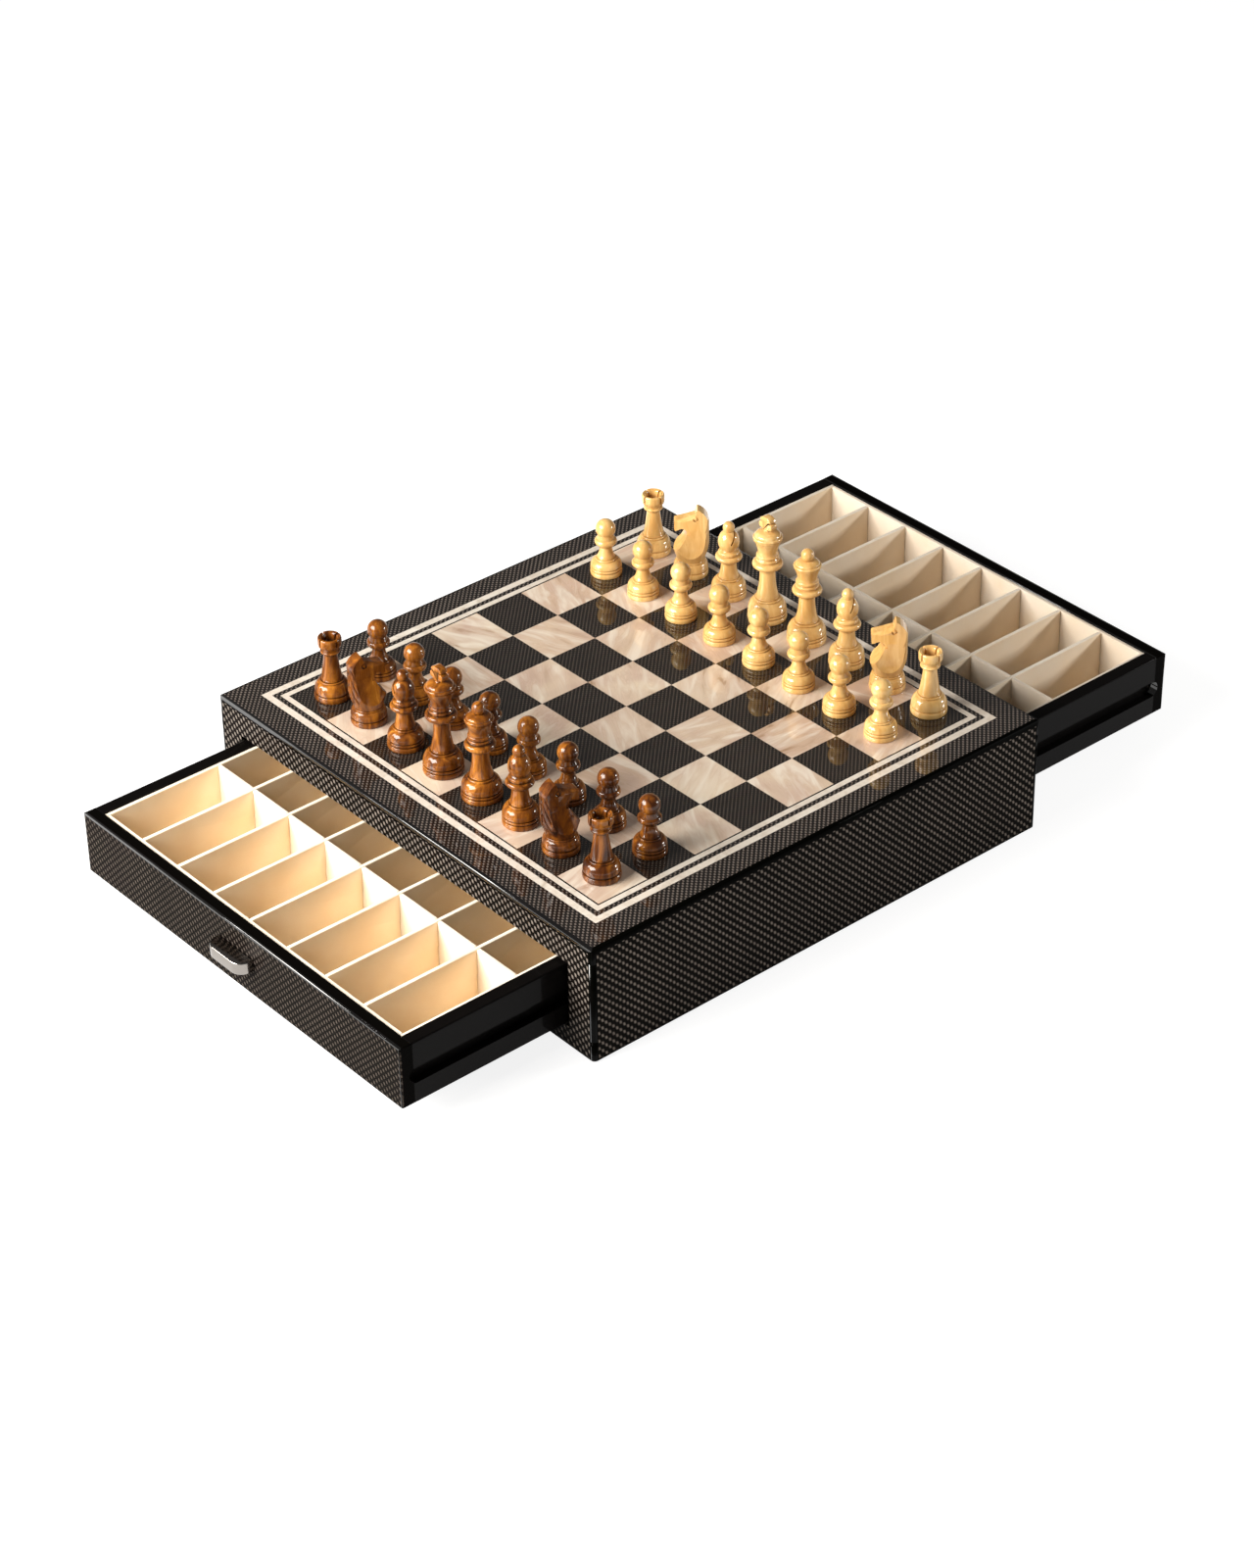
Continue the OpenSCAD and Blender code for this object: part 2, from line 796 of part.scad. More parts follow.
base_felt();
base_panel();
side_wall(-1);  // side_wall_left
side_wall(1);  // side_wall_right
top_panel();
top_rails();
centre_partition();
runners();
carbon_veneer();
inlay_lines();
pearl_squares();
carbon_squares();
for (end = ["front", "back"]) {
    drawer_front(end);
    drawer_sides(end);
    drawer_back(end);
    drawer_bottom(end);
    drawer_lining(end);
    drawer_dividers(end);
    pull(end);
    pull_screws(end);
}
for (i = [0:7]) {
    on_square("brown", i, 0, RANK[i]);
    on_square("brown", i, 1, "pawn");
    on_square("light", i, 6, "pawn");
    on_square("light", i, 7, RANK[i]);
}
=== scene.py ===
"""Chess box: a lacquered case with an inlaid playing board, a lined drawer at each end and 32 turned men.

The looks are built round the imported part, in metres and in the part's own frame: the origin is the middle
of the underside, +Z is up, the front drawer slides out along -Y and the back drawer along +Y. Sizes that
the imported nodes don't give are driving dimensions of the piece they belong to.
"""

import logging
import math
from dataclasses import dataclass, field
from enum import Enum
from typing import Callable, Optional, Sequence, Union

import bmesh
import bpy
import numpy as np
from mathutils import Matrix, Vector

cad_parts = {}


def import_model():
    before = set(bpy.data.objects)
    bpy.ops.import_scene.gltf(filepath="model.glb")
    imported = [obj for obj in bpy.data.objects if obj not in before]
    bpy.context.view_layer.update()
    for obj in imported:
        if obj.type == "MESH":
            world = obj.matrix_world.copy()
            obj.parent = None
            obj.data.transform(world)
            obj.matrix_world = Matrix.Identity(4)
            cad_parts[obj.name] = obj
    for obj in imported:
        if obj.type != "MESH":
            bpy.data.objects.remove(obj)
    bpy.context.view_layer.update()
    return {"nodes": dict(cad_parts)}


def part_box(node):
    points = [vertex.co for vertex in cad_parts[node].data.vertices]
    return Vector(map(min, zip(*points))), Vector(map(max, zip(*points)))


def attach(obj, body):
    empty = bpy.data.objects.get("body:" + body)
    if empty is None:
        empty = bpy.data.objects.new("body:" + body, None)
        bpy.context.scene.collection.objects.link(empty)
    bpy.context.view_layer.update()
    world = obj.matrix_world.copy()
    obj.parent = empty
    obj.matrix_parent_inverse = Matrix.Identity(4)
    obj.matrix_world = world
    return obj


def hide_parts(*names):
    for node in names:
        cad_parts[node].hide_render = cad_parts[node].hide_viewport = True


LOG = logging.getLogger("chess_box")

MM = 0.001

# A distance past every piece, for a box that is open on one side
FAR = 9.0
# Points nearer than this are one point
TOUCH = 1e-6
# Least part of a direction along an axis for it to count as along that axis
ALONG = 0.9999

Colour = tuple[int, int, int]
Stops = tuple[tuple[float, Colour], ...]
Number = Union["Wire", float]


class End(Enum):
    """The two ends of the case that have a drawer, with the sign of the drawer's way out."""

    FRONT = -1
    BACK = 1


class Side(Enum):
    """The two sets of men."""

    BROWN = "brown"
    LIGHT = "light"


class Rank(Enum):
    """The six kinds of men."""

    KING = "king"
    QUEEN = "queen"
    BISHOP = "bishop"
    KNIGHT = "knight"
    ROOK = "rook"
    PAWN = "pawn"


# ------------------------------------------------------------------------------------------ shader wires


def linear(colour: Colour) -> tuple[float, float, float, float]:
    """Turns a display colour into the linear one that a shader takes.

    Args:
        colour: Red, green and blue from 0 to 255.

    Returns:
        The linear colour with an alpha of one.
    """
    shares = np.array(colour) / 255.0
    values = np.where(shares <= 0.04045, shares / 12.92, ((shares + 0.055) / 1.055) ** 2.4)
    return (*values.tolist(), 1.0)


class Wire:
    """A value on its way through a material, whose arithmetic signs make math nodes."""

    def __init__(self, graph: "Graph", socket: bpy.types.NodeSocket) -> None:
        """Keeps the graph and the socket that gives the value."""
        self.graph = graph
        self.socket = socket

    def __add__(self, other: Number) -> "Wire":
        """Adds."""
        return self.graph.math("ADD", self, other)

    def __sub__(self, other: Number) -> "Wire":
        """Takes away."""
        return self.graph.math("SUBTRACT", self, other)

    def __rsub__(self, other: Number) -> "Wire":
        """Takes this value away from a number."""
        return self.graph.math("SUBTRACT", other, self)

    def __mul__(self, other: Number) -> "Wire":
        """Multiplies."""
        return self.graph.math("MULTIPLY", self, other)

    def __truediv__(self, other: Number) -> "Wire":
        """Divides."""
        return self.graph.math("DIVIDE", self, other)

    def __pow__(self, other: Number) -> "Wire":
        """Raises to a power."""
        return self.graph.math("POWER", self, other)

    def fract(self) -> "Wire":
        """Keeps the part after the point."""
        return self.graph.math("FRACT", self)

    def floor(self) -> "Wire":
        """Rounds down."""
        return self.graph.math("FLOOR", self)

    def size(self) -> "Wire":
        """Drops the sign."""
        return self.graph.math("ABSOLUTE", self)

    def above(self, level: Number) -> "Wire":
        """Gives one where the value is over the level and zero elsewhere."""
        return self.graph.math("GREATER_THAN", self, level)

    def least(self, other: Number) -> "Wire":
        """Gives the lesser of two values."""
        return self.graph.math("MINIMUM", self, other)

    def most(self, other: Number) -> "Wire":
        """Gives the greater of two values."""
        return self.graph.math("MAXIMUM", self, other)

    def arch(self) -> "Wire":
        """Gives half a sine wave over each whole step of the value: zero at its ends, one in its middle."""
        return self.graph.math("SINE", self.fract() * math.pi)

    def odd(self) -> "Wire":
        """Gives one for an odd whole number and zero for an even one."""
        return self.graph.math("FLOORED_MODULO", self, 2.0)

    def spread(self, low: float, high: float, to_low: float = 0.0, to_high: float = 1.0) -> "Wire":
        """Maps one range to another and holds the value inside it.

        Args:
            low: Value that becomes to_low.
            high: Value that becomes to_high.
            to_low: First end of the new range.
            to_high: Second end of the new range.

        Returns:
            The mapped value.
        """
        node = self.graph.node("ShaderNodeMapRange")
        node.clamp = True
        self.graph.feed(node, Value=self)
        for name, value in (("From Min", low), ("From Max", high), ("To Min", to_low), ("To Max", to_high)):
            node.inputs[name].default_value = value
        return Wire(self.graph, node.outputs["Result"])


class Graph:
    """A material under construction: its nodes, and short names for the ones used most."""

    # Pointiness of a level surface, and of the bottom of a groove
    LEVEL = 0.49
    BOTTOM = 0.42

    def __init__(self, name: str) -> None:
        """Starts an empty material with one principled shader.

        Args:
            name: Name of the material.
        """
        self.material = bpy.data.materials.new(name)
        self.material.use_nodes = True
        self.tree = self.material.node_tree
        self.tree.nodes.clear()
        self.shader = self.node("ShaderNodeBsdfPrincipled")
        self.surface = self.node("ShaderNodeOutputMaterial").inputs["Surface"]
        self.tree.links.new(self.shader.outputs["BSDF"], self.surface)

    def node(self, kind: str) -> bpy.types.Node:
        """Adds a node."""
        return self.tree.nodes.new(kind)

    def put(self, socket: bpy.types.NodeSocket, value: object) -> None:
        """Links a wire to an input, or sets the input to a plain value.

        Args:
            socket: The input.
            value: A wire, a number, a colour or a vector.
        """
        if isinstance(value, Wire):
            self.tree.links.new(value.socket, socket)
        else:
            socket.default_value = value

    def feed(self, node: bpy.types.Node, **values: object) -> None:
        """Links or sets inputs by name, where an underscore stands for a space.

        Args:
            node: The node that takes the values.
            **values: A wire, a number, a colour or a vector for each input.
        """
        for name, value in values.items():
            self.put(node.inputs[name.replace("_", " ")], value)

    def math(self, operation: str, first: Number, second: Optional[Number] = None) -> Wire:
        """Adds a math node.

        Args:
            operation: Blender's name of the operation.
            first: The first value.
            second: The second value, where the operation has one.

        Returns:
            The result.
        """
        node = self.node("ShaderNodeMath")
        node.operation = operation
        for socket, value in zip(node.inputs, (first, second)):
            if value is not None:
                self.put(socket, value)
        return Wire(self, node.outputs[0])

    def shade(self, kind: str, *parts: Wire, **values: object) -> Wire:
        """Adds a shader.

        Args:
            kind: Blender's name of its node.
            *parts: What its first inputs take, in order.
            **values: Its inputs by name.

        Returns:
            The shader's output.
        """
        node = self.node(kind)
        for socket, part in zip(node.inputs, parts):
            self.put(socket, part)
        self.feed(node, **values)
        return Wire(self, node.outputs[0])

    def place(self) -> Wire:
        """Gives the point on the piece, in the part's frame."""
        return Wire(self, self.node("ShaderNodeTexCoord").outputs["Object"])

    def facing(self) -> Wire:
        """Gives the direction in which the surface faces, in the part's frame."""
        return Wire(self, self.node("ShaderNodeTexCoord").outputs["Normal"])

    def groove(self) -> Wire:
        """Gives one in the bottom of a groove and zero on level and rounded surfaces."""
        pointiness = Wire(self, self.node("ShaderNodeNewGeometry").outputs["Pointiness"])
        return pointiness.spread(self.LEVEL, self.BOTTOM)

    def split(self, vector: Wire) -> tuple[Wire, Wire, Wire]:
        """Splits a vector into its three parts.

        Args:
            vector: The vector.

        Returns:
            Its X, Y and Z.
        """
        node = self.node("ShaderNodeSeparateXYZ")
        self.feed(node, Vector=vector)
        return tuple(Wire(self, output) for output in node.outputs)

    def join(self, x: Number, y: Number, z: Number) -> Wire:
        """Makes a vector of three values.

        Args:
            x: The first part.
            y: The second part.
            z: The third part.

        Returns:
            The vector.
        """
        node = self.node("ShaderNodeCombineXYZ")
        self.feed(node, X=x, Y=y, Z=z)
        return Wire(self, node.outputs[0])

    def scaled(self, vector: Wire, scale: Sequence[float]) -> Wire:
        """Multiplies a vector by three numbers.

        Args:
            vector: The vector.
            scale: A factor for each axis.

        Returns:
            The product.
        """
        node = self.node("ShaderNodeVectorMath")
        node.operation = "MULTIPLY"
        self.put(node.inputs[0], vector)
        self.put(node.inputs[1], tuple(scale))
        return Wire(self, node.outputs[0])

    def noise(self, vector: Wire, scale: float, detail: float = 3.0, roughness: float = 0.5,
              twist: float = 0.0) -> Wire:
        """Adds a cloud pattern.

        Args:
            vector: Where the pattern is read.
            scale: Clouds for each metre of the vector.
            detail: Number of finer layers.
            roughness: How strong the finer layers are.
            twist: How far the pattern is bent by itself.

        Returns:
            A value near one half that runs from about 0.2 to 0.8.
        """
        node = self.node("ShaderNodeTexNoise")
        self.feed(node, Vector=vector, Scale=scale, Detail=detail, Roughness=roughness, Distortion=twist)
        return Wire(self, node.outputs["Fac"])

    def dice(self, vector: Wire) -> Wire:
        """Gives a fixed random value for each vector.

        Args:
            vector: The vector.

        Returns:
            A value from 0 to 1.
        """
        node = self.node("ShaderNodeTexWhiteNoise")
        self.feed(node, Vector=vector)
        return Wire(self, node.outputs["Value"])

    def blend(self, share: Number, first: Union[Wire, Colour], second: Union[Wire, Colour],
              way: str = "MIX") -> Wire:
        """Mixes two colours.

        Args:
            share: Share of the second colour, from 0 to 1.
            first: A wire or a display colour.
            second: A wire or a display colour.
            way: Blender's name of the way of mixing.

        Returns:
            The mixed colour.
        """
        node = self.node("ShaderNodeMix")
        node.data_type = "RGBA"
        node.blend_type = way
        for number, value in ((0, share), (6, first), (7, second)):
            self.put(node.inputs[number], linear(value) if isinstance(value, tuple) else value)
        return Wire(self, node.outputs[2])

    def ramp(self, value: Wire, stops: Stops) -> Wire:
        """Turns a value into a colour between stops.

        Args:
            value: The value, from 0 to 1.
            stops: Places and display colours in rising order.

        Returns:
            The colour.
        """
        node = self.node("ShaderNodeValToRGB")
        self.feed(node, Fac=value)
        marks = node.color_ramp.elements
        while len(marks) < len(stops):
            marks.new(1.0)
        for mark, (place, colour) in zip(marks, stops):
            mark.position = place
            mark.color = linear(colour)
        return Wire(self, node.outputs["Color"])

    def relief(self, height: Wire, depth: float) -> Wire:
        """Turns a height from 0 to 1 into a bumped surface direction.

        Args:
            height: The height.
            depth: Metres from its lowest to its highest value.

        Returns:
            The direction for a shader's normal.
        """
        node = self.node("ShaderNodeBump")
        self.feed(node, Height=height, Distance=depth, Strength=1.0)
        return Wire(self, node.outputs["Normal"])

    def finish(self, colour: Wire, roughness: Number, **values: object) -> bpy.types.Material:
        """Gives the shader its colour, roughness and other values.

        Args:
            colour: The base colour.
            roughness: The roughness of the base.
            **values: Other inputs of the shader by name.

        Returns:
            The finished material.
        """
        self.feed(self.shader, Base_Color=colour, Roughness=roughness, **values)
        return self.material


# ------------------------------------------------------------------------------------------------ finishes


@dataclass(frozen=True)
class ClearCoat:
    """A clear lacquer over a finish: how much it mirrors and how sharp."""

    weight: float = 1.0
    roughness: float = 0.03
    index: float = 1.5

    def inputs(self) -> dict[str, float]:
        """Gives the shader's inputs for this coat."""
        return {"Coat_Weight": self.weight, "Coat_Roughness": self.roughness, "Coat_IOR": self.index}


@dataclass(frozen=True)
class Lacquer:
    """Black lacquer, with the faint dust and polish marks of a buffed surface."""

    name: str = "black_lacquer"
    dark: Colour = (6, 5, 5)
    pale: Colour = (13, 11, 10)
    dust: Colour = (150, 145, 140)
    dust_share: float = 0.06
    coat: ClearCoat = ClearCoat(weight=0.3, index=1.2)

    def material(self) -> bpy.types.Material:
        """Makes the material.

        Returns:
            The new material.
        """
        graph = Graph(self.name)
        place = graph.place()
        cloud = graph.noise(place, 60.0)
        specks = graph.noise(place, 2600.0, detail=1.0).spread(0.68, 0.8)
        colour = graph.blend(cloud, self.dark, self.pale)
        colour = graph.blend(specks * self.dust_share, colour, self.dust)
        return graph.finish(colour, cloud.spread(0.3, 0.7, 0.3, 0.45), Specular_IOR_Level=0.02,
                            **self.coat.inputs())


@dataclass(frozen=True)
class Weave:
    """Plain-woven black cloth under clear lacquer, with the sheen of its tows painted into their colour.

    The cloth is a lattice of square cells with sides of one pitch. In the plane of a face with the
    coordinates (u, v), a cell whose whole steps floor(u') + floor(v') are even shows a tow that runs along v,
    painted bright with its sheen, and an odd one shows a tow that runs along u, painted dim, where
    u' = u / pitch + lean * (fract(v') - 1/2) and v' = v / pitch. A tow's height is half a sine wave across
    it times half a sine wave along it, each to a power of its own, and the tows' painted sheen follows the
    same humps.
    """

    name: str = "carbon_weave"
    pitch: float = 3.03 * MM
    lean: float = 0.3
    # Colours of the bare lacquer and of the dim and bright tows; the tows' colours carry their painted sheen
    dark: Colour = (14, 12, 11)
    dull: Colour = (34, 30, 27)
    bright: Colour = (110, 101, 93)
    sheen: float = 0.05
    coat: ClearCoat = ClearCoat()
    turned: bool = False
    relief: float = 0.12 * MM
    # Powers of the half sine waves across and along a tow
    warp_powers: tuple[float, float] = (1.8, 0.45)
    weft_powers: tuple[float, float] = (1.6, 0.6)
    # Filaments for each pitch, across and along a bright tow
    filaments: tuple[float, float] = (9.0, 0.8)
    roughness: float = 0.42
    # Outer reach of a plain dark line round the field, or zero for none
    line: float = 0.0
    # Box inside which the cloth lies, as its low and high corner. Outside it is bare lacquer
    low: tuple[float, float, float] = (-FAR, -FAR, -FAR)
    high: tuple[float, float, float] = (FAR, FAR, FAR)

    def cloth(self, graph: Graph, u: Wire, v: Wire) -> tuple[Wire, Wire, Wire]:
        """Works out the lattice.

        Args:
            graph: The material.
            u: Coordinate across the bright tows.
            v: Coordinate along the bright tows.

        Returns:
            The bright tows' painted sheen, that of the dull tows, and the filaments in them; the first two
            also give the tows' heights.
        """
        along = v / self.pitch
        across = u / self.pitch + (along.fract() - 0.5) * self.lean
        odd = (along.floor() + across.floor()).odd()
        hump_across = across.arch()
        hump_along = along.arch()
        warp = (1.0 - odd) * hump_across ** self.warp_powers[0] * hump_along ** self.warp_powers[1]
        weft = odd * hump_along ** self.weft_powers[0] * hump_across ** self.weft_powers[1]
        threads = graph.join(across * self.filaments[0], along * self.filaments[1], 0.0)
        return warp, weft, graph.noise(threads, 1.0, detail=2.0)

    def inside(self, parts: tuple[Wire, Wire, Wire]) -> Wire:
        """Gives one where the point lies inside the box on at least two of the three axes.

        Args:
            parts: The point's three coordinates.

        Returns:
            One or zero.
        """
        count: Optional[Wire] = None
        for part, low, high in zip(parts, self.low, self.high):
            within = part.above(low) * (1.0 - part.above(high))
            count = within if count is None else count + within
        return count.above(1.5)

    def material(self) -> bpy.types.Material:
        """Makes the material.

        Returns:
            The new material.
        """
        graph = Graph(self.name)
        place = graph.place()
        x, y, z = graph.split(place)
        looks = graph.split(graph.facing())
        on_side, on_top = (looks[axis].size().above(0.5) for axis in (0, 2))
        u = x + (y - x) * on_side
        v = z + (y - z) * on_top
        if self.turned:
            u, v = v, u
        warp, weft, fine = self.cloth(graph, u, v)
        shown = self.inside((x, y, z)) * x.size().most(y.size()).above(self.line)
        cloud = graph.noise(place, 35.0, detail=2.0)
        # Painted sheen: the tows' humps, filaments and clouds brighten the tows' colour
        gain = fine.spread(0.3, 0.7, 0.72, 1.1) * cloud.spread(0.3, 0.7, 0.85, 1.1)
        colour = graph.blend(weft * shown, self.dark, self.dull)
        colour = graph.blend((warp * gain * shown).least(1.0), colour, self.bright)
        height = (warp + weft * 0.8 + fine * 0.08) * shown
        return graph.finish(colour, self.roughness, Specular_IOR_Level=self.sheen,
                            Normal=graph.relief(height, self.relief), **self.coat.inputs())


@dataclass(frozen=True)
class Pearl:
    """Squares of mother-of-pearl: each its own tint and its own direction of cloudy growth lines."""

    name: str = "mother_of_pearl"
    cell: float = 41.0 * MM
    creams: tuple[Colour, Colour] = ((222, 206, 182), (200, 172, 148))
    rose: Colour = (198, 172, 154)
    bright: Colour = (232, 222, 206)
    vein: Colour = (140, 104, 66)
    # Length of the growth lines in shares of their width
    stretch: float = 4.5
    # Range of directions of the growth lines, from square to square, in radians
    sweep: float = 2.4
    coat: ClearCoat = ClearCoat()

    def material(self) -> bpy.types.Material:
        """Makes the material.

        Returns:
            The new material.
        """
        graph = Graph(self.name)
        place = graph.place()
        x, y, _ = graph.split(place)
        cell = graph.join((x / self.cell).floor(), (y / self.cell).floor(), 0.0)
        tint = graph.dice(cell)
        turn = graph.dice(graph.scaled(cell, (3.7, 5.3, 1.0)))
        rare = graph.dice(graph.scaled(cell, (7.9, 2.3, 1.0)))
        node = graph.node("ShaderNodeVectorRotate")
        node.rotation_type = "Z_AXIS"
        graph.feed(node, Vector=place, Angle=turn * self.sweep - 0.5)
        turned = Wire(graph, node.outputs[0])
        # Growth lines are clouds drawn out along the square's own direction, with veins between some of them
        patches = graph.noise(turned, 28.0, detail=2.0)
        stretched = graph.scaled(turned, (1.0, self.stretch, 1.0))
        lines = graph.noise(stretched, 27.0, detail=4.0, roughness=0.52, twist=0.8)
        broad = graph.noise(place, 24.0, detail=3.0, roughness=0.5, twist=0.8)
        colour = graph.blend(tint, *self.creams)
        colour = graph.blend(broad.spread(0.35, 0.68), colour, self.rose)
        colour = graph.blend(lines.spread(0.48, 0.68) * 0.7, colour, self.bright)
        veins = lines.spread(0.46, 0.3) * patches.spread(0.42, 0.6)
        colour = graph.blend(veins * rare.spread(0.4, 0.9, 0.25, 1.0), colour, self.vein)
        return graph.finish(colour, lines.spread(0.3, 0.7, 0.32, 0.2), Specular_IOR_Level=0.3,
                            Normal=graph.relief(lines, 0.05 * MM), **self.coat.inputs())


@dataclass(frozen=True)
class Inlay:
    """Ivory-coloured inlay strip with a faint pearly flame along it."""

    name: str = "ivory_inlay"
    stops: Stops = ((0.25, (196, 182, 166)), (0.48, (220, 210, 197)), (0.75, (232, 225, 214)))
    shade: Colour = (202, 185, 168)
    coat: ClearCoat = ClearCoat()

    def material(self) -> bpy.types.Material:
        """Makes the material.

        Returns:
            The new material.
        """
        graph = Graph(self.name)
        place = graph.place()
        flame = graph.noise(place, 150.0, detail=4.0, roughness=0.6, twist=0.8)
        broad = graph.noise(place, 20.0, detail=2.0)
        colour = graph.ramp(flame, self.stops)
        colour = graph.blend(broad.spread(0.4, 0.7) * 0.3, colour, self.shade)
        return graph.finish(colour, 0.3, Normal=graph.relief(flame, 0.03 * MM), **self.coat.inputs())


@dataclass(frozen=True)
class Suede:
    """Napped cream lining: a short fuzzy pile with cloudy brushing marks.

    Faces that look along Y and the strips' tops are painted paler, as painted light where the lamps fall, and
    faces that look along X and the bottom are painted a deeper tan, as painted shade lit only by light thrown
    back from the cream.
    """

    name: str = "cream_lining"
    # Painted light and shade: the first colour is for lit faces, the second for faces in shade
    pale: Colour = (249, 240, 227)
    shade_tint: Colour = (250, 233, 206)
    brushed: Colour = (246, 232, 208)
    pile: Colour = (238, 224, 200)
    # Height under which every face is the bottom's, which takes the painted shade colour
    floor: float = 27.0 * MM
    sheen: float = 0.25

    def material(self) -> bpy.types.Material:
        """Makes the material.

        Returns:
            The new material.
        """
        graph = Graph(self.name)
        place = graph.place()
        cloud = graph.noise(place, 30.0, detail=3.0)
        fibres = graph.noise(place, 2200.0, detail=2.0, roughness=0.7)
        nap = graph.noise(place, 420.0, detail=2.0)
        along, _, _ = graph.split(graph.facing())
        low = 1.0 - graph.split(place)[2].above(self.floor)
        # Painted light and shade: faces along X and the bottom take the shade colour, all other faces the lit
        # colour
        colour = graph.blend(along.size().above(0.5).most(low), self.pale, self.shade_tint)
        colour = graph.blend(cloud.spread(0.3, 0.7) * 0.5, colour, self.brushed, "MULTIPLY")
        colour = graph.blend(fibres.spread(0.3, 0.75) * 0.3, colour, self.pile, "MULTIPLY")
        height = fibres * 0.6 + nap * 0.4
        return graph.finish(colour, fibres.spread(0.3, 0.7, 0.85, 0.97), Specular_IOR_Level=0.15,
                            Sheen_Weight=self.sheen, Sheen_Roughness=0.5,
                            Normal=graph.relief(height, 0.16 * MM))


@dataclass(frozen=True)
class Metal:
    """Plated metal with fine polishing lines and faint finger marks."""

    name: str = "chrome"
    base: Colour = (156, 150, 144)
    marks: Colour = (146, 142, 138)
    roughness: float = 0.1

    def material(self) -> bpy.types.Material:
        """Makes the material.

        Returns:
            The new material.
        """
        graph = Graph(self.name)
        place = graph.place()
        lines = graph.noise(graph.scaled(place, (0.04, 1.0, 1.0)), 5200.0, detail=2.0)
        marks = graph.noise(place, 160.0, detail=3.0)
        colour = graph.blend(marks.spread(0.35, 0.7) * 0.25, self.base, self.marks)
        rough = marks.spread(0.3, 0.7, self.roughness, self.roughness * 1.9)
        return graph.finish(colour, rough, Metallic=1.0, Normal=graph.relief(lines, 0.004 * MM))


@dataclass(frozen=True)
class Timber:
    """Polished wood whose streaks run along one axis: long drawn-out clouds, with pores between them, and
    painted shade darkening its grooves.
    """

    name: str
    stops: Stops
    pore: Colour
    pore_share: float
    coat: ClearCoat
    grain: tuple[float, float, float] = (1.0, 1.0, 0.22)
    scale: float = 95.0
    roughness: float = 0.35
    contrast: float = 0.2
    # Painted shade darkening the bottoms of grooves, and how strongly it is laid on
    groove_shade: Colour = (20, 9, 4)
    groove_shade_share: float = 0.0

    def material(self) -> bpy.types.Material:
        """Makes the material.

        Returns:
            The new material.
        """
        graph = Graph(self.name)
        place = graph.place()
        drawn = graph.scaled(place, self.grain)
        streaks = graph.noise(drawn, self.scale, detail=4.0, roughness=0.6, twist=1.4)
        broad = graph.noise(drawn, self.scale * 0.3, detail=2.0)
        fine = graph.noise(graph.scaled(place, tuple(share * 0.6 for share in self.grain)),
                           self.scale * 22.0, detail=2.0, roughness=0.7)
        value = streaks * 0.62 + broad * 0.38
        colour = graph.ramp(value.spread(0.5 - self.contrast, 0.5 + self.contrast), self.stops)
        pores = fine.spread(0.56, 0.7) * self.pore_share
        colour = graph.blend(pores, colour, self.pore)
        # Painted shade: the bottoms of grooves are darkened towards the shade colour
        colour = graph.blend(graph.groove() * self.groove_shade_share, colour, self.groove_shade)
        return graph.finish(colour, self.roughness, Specular_IOR_Level=0.08,
                            Normal=graph.relief(1.0 - pores, 0.03 * MM), **self.coat.inputs())


@dataclass(frozen=True)
class Felt:
    """Dark pressed felt with short crossed fibres."""

    name: str = "felt"
    dark: Colour = (26, 26, 27)
    pale: Colour = (52, 51, 50)
    worn: Colour = (34, 33, 33)

    def material(self) -> bpy.types.Material:
        """Makes the material.

        Returns:
            The new material.
        """
        graph = Graph(self.name)
        place = graph.place()
        crossed = graph.scaled(place, (1.0, 0.3, 1.0))
        fibres = graph.noise(crossed, 1800.0, detail=3.0, roughness=0.7, twist=2.0)
        cloud = graph.noise(place, 50.0)
        colour = graph.blend(fibres.spread(0.35, 0.7), self.dark, self.pale)
        colour = graph.blend(cloud * 0.3, colour, self.worn)
        return graph.finish(colour, 0.95, Sheen_Weight=0.4, Normal=graph.relief(fibres, 0.3 * MM))


BROWN_WOOD = Timber(
    name="brown_wood",
    stops=((0.0, (32, 12, 3)), (0.3, (76, 37, 9)), (0.55, (124, 70, 19)), (0.8, (172, 107, 35)),
           (1.0, (212, 144, 58))),
    pore=(34, 16, 6), pore_share=0.35, coat=ClearCoat(weight=0.75),
    grain=(1.0, 1.0, 0.2), scale=120.0, contrast=0.22, groove_shade=(16, 7, 3), groove_shade_share=0.9)
LIGHT_WOOD = Timber(
    name="light_wood",
    stops=((0.0, (190, 138, 70)), (0.4, (213, 166, 98)), (0.7, (227, 187, 122)), (1.0, (240, 210, 154))),
    pore=(186, 134, 72), pore_share=0.2, coat=ClearCoat(roughness=0.11),
    grain=(1.0, 1.0, 0.13), scale=150.0, contrast=0.25, groove_shade=(150, 92, 34), groove_shade_share=0.5)
BEECH = Timber(
    name="beech", stops=((0.0, (150, 112, 70)), (0.5, (176, 138, 92)), (1.0, (192, 156, 110))),
    pore=(120, 84, 50), pore_share=0.4, coat=ClearCoat(weight=0.0), grain=(1.0, 0.12, 1.0))
EDGE_LACQUER = Lacquer("edge_lacquer", coat=ClearCoat(roughness=0.02, index=1.8))
BAY_LACQUER = Lacquer("bay_lacquer")
# Painted shade: the back drawer's lining is the same cream, painted darker and greyer for the weaker light in
# it
SHADED_LINING = Suede("shaded_lining", pale=(224, 214, 201), shade_tint=(238, 224, 204))
STEEL = Metal("steel", (178, 178, 176), roughness=0.25)
# The lacquer over the case's sides and the drawers' faces mirrors less than the board's
SIDE_COAT = ClearCoat(weight=0.25, roughness=0.04, index=1.12)


# -------------------------------------------------------------------------------------------------- shells


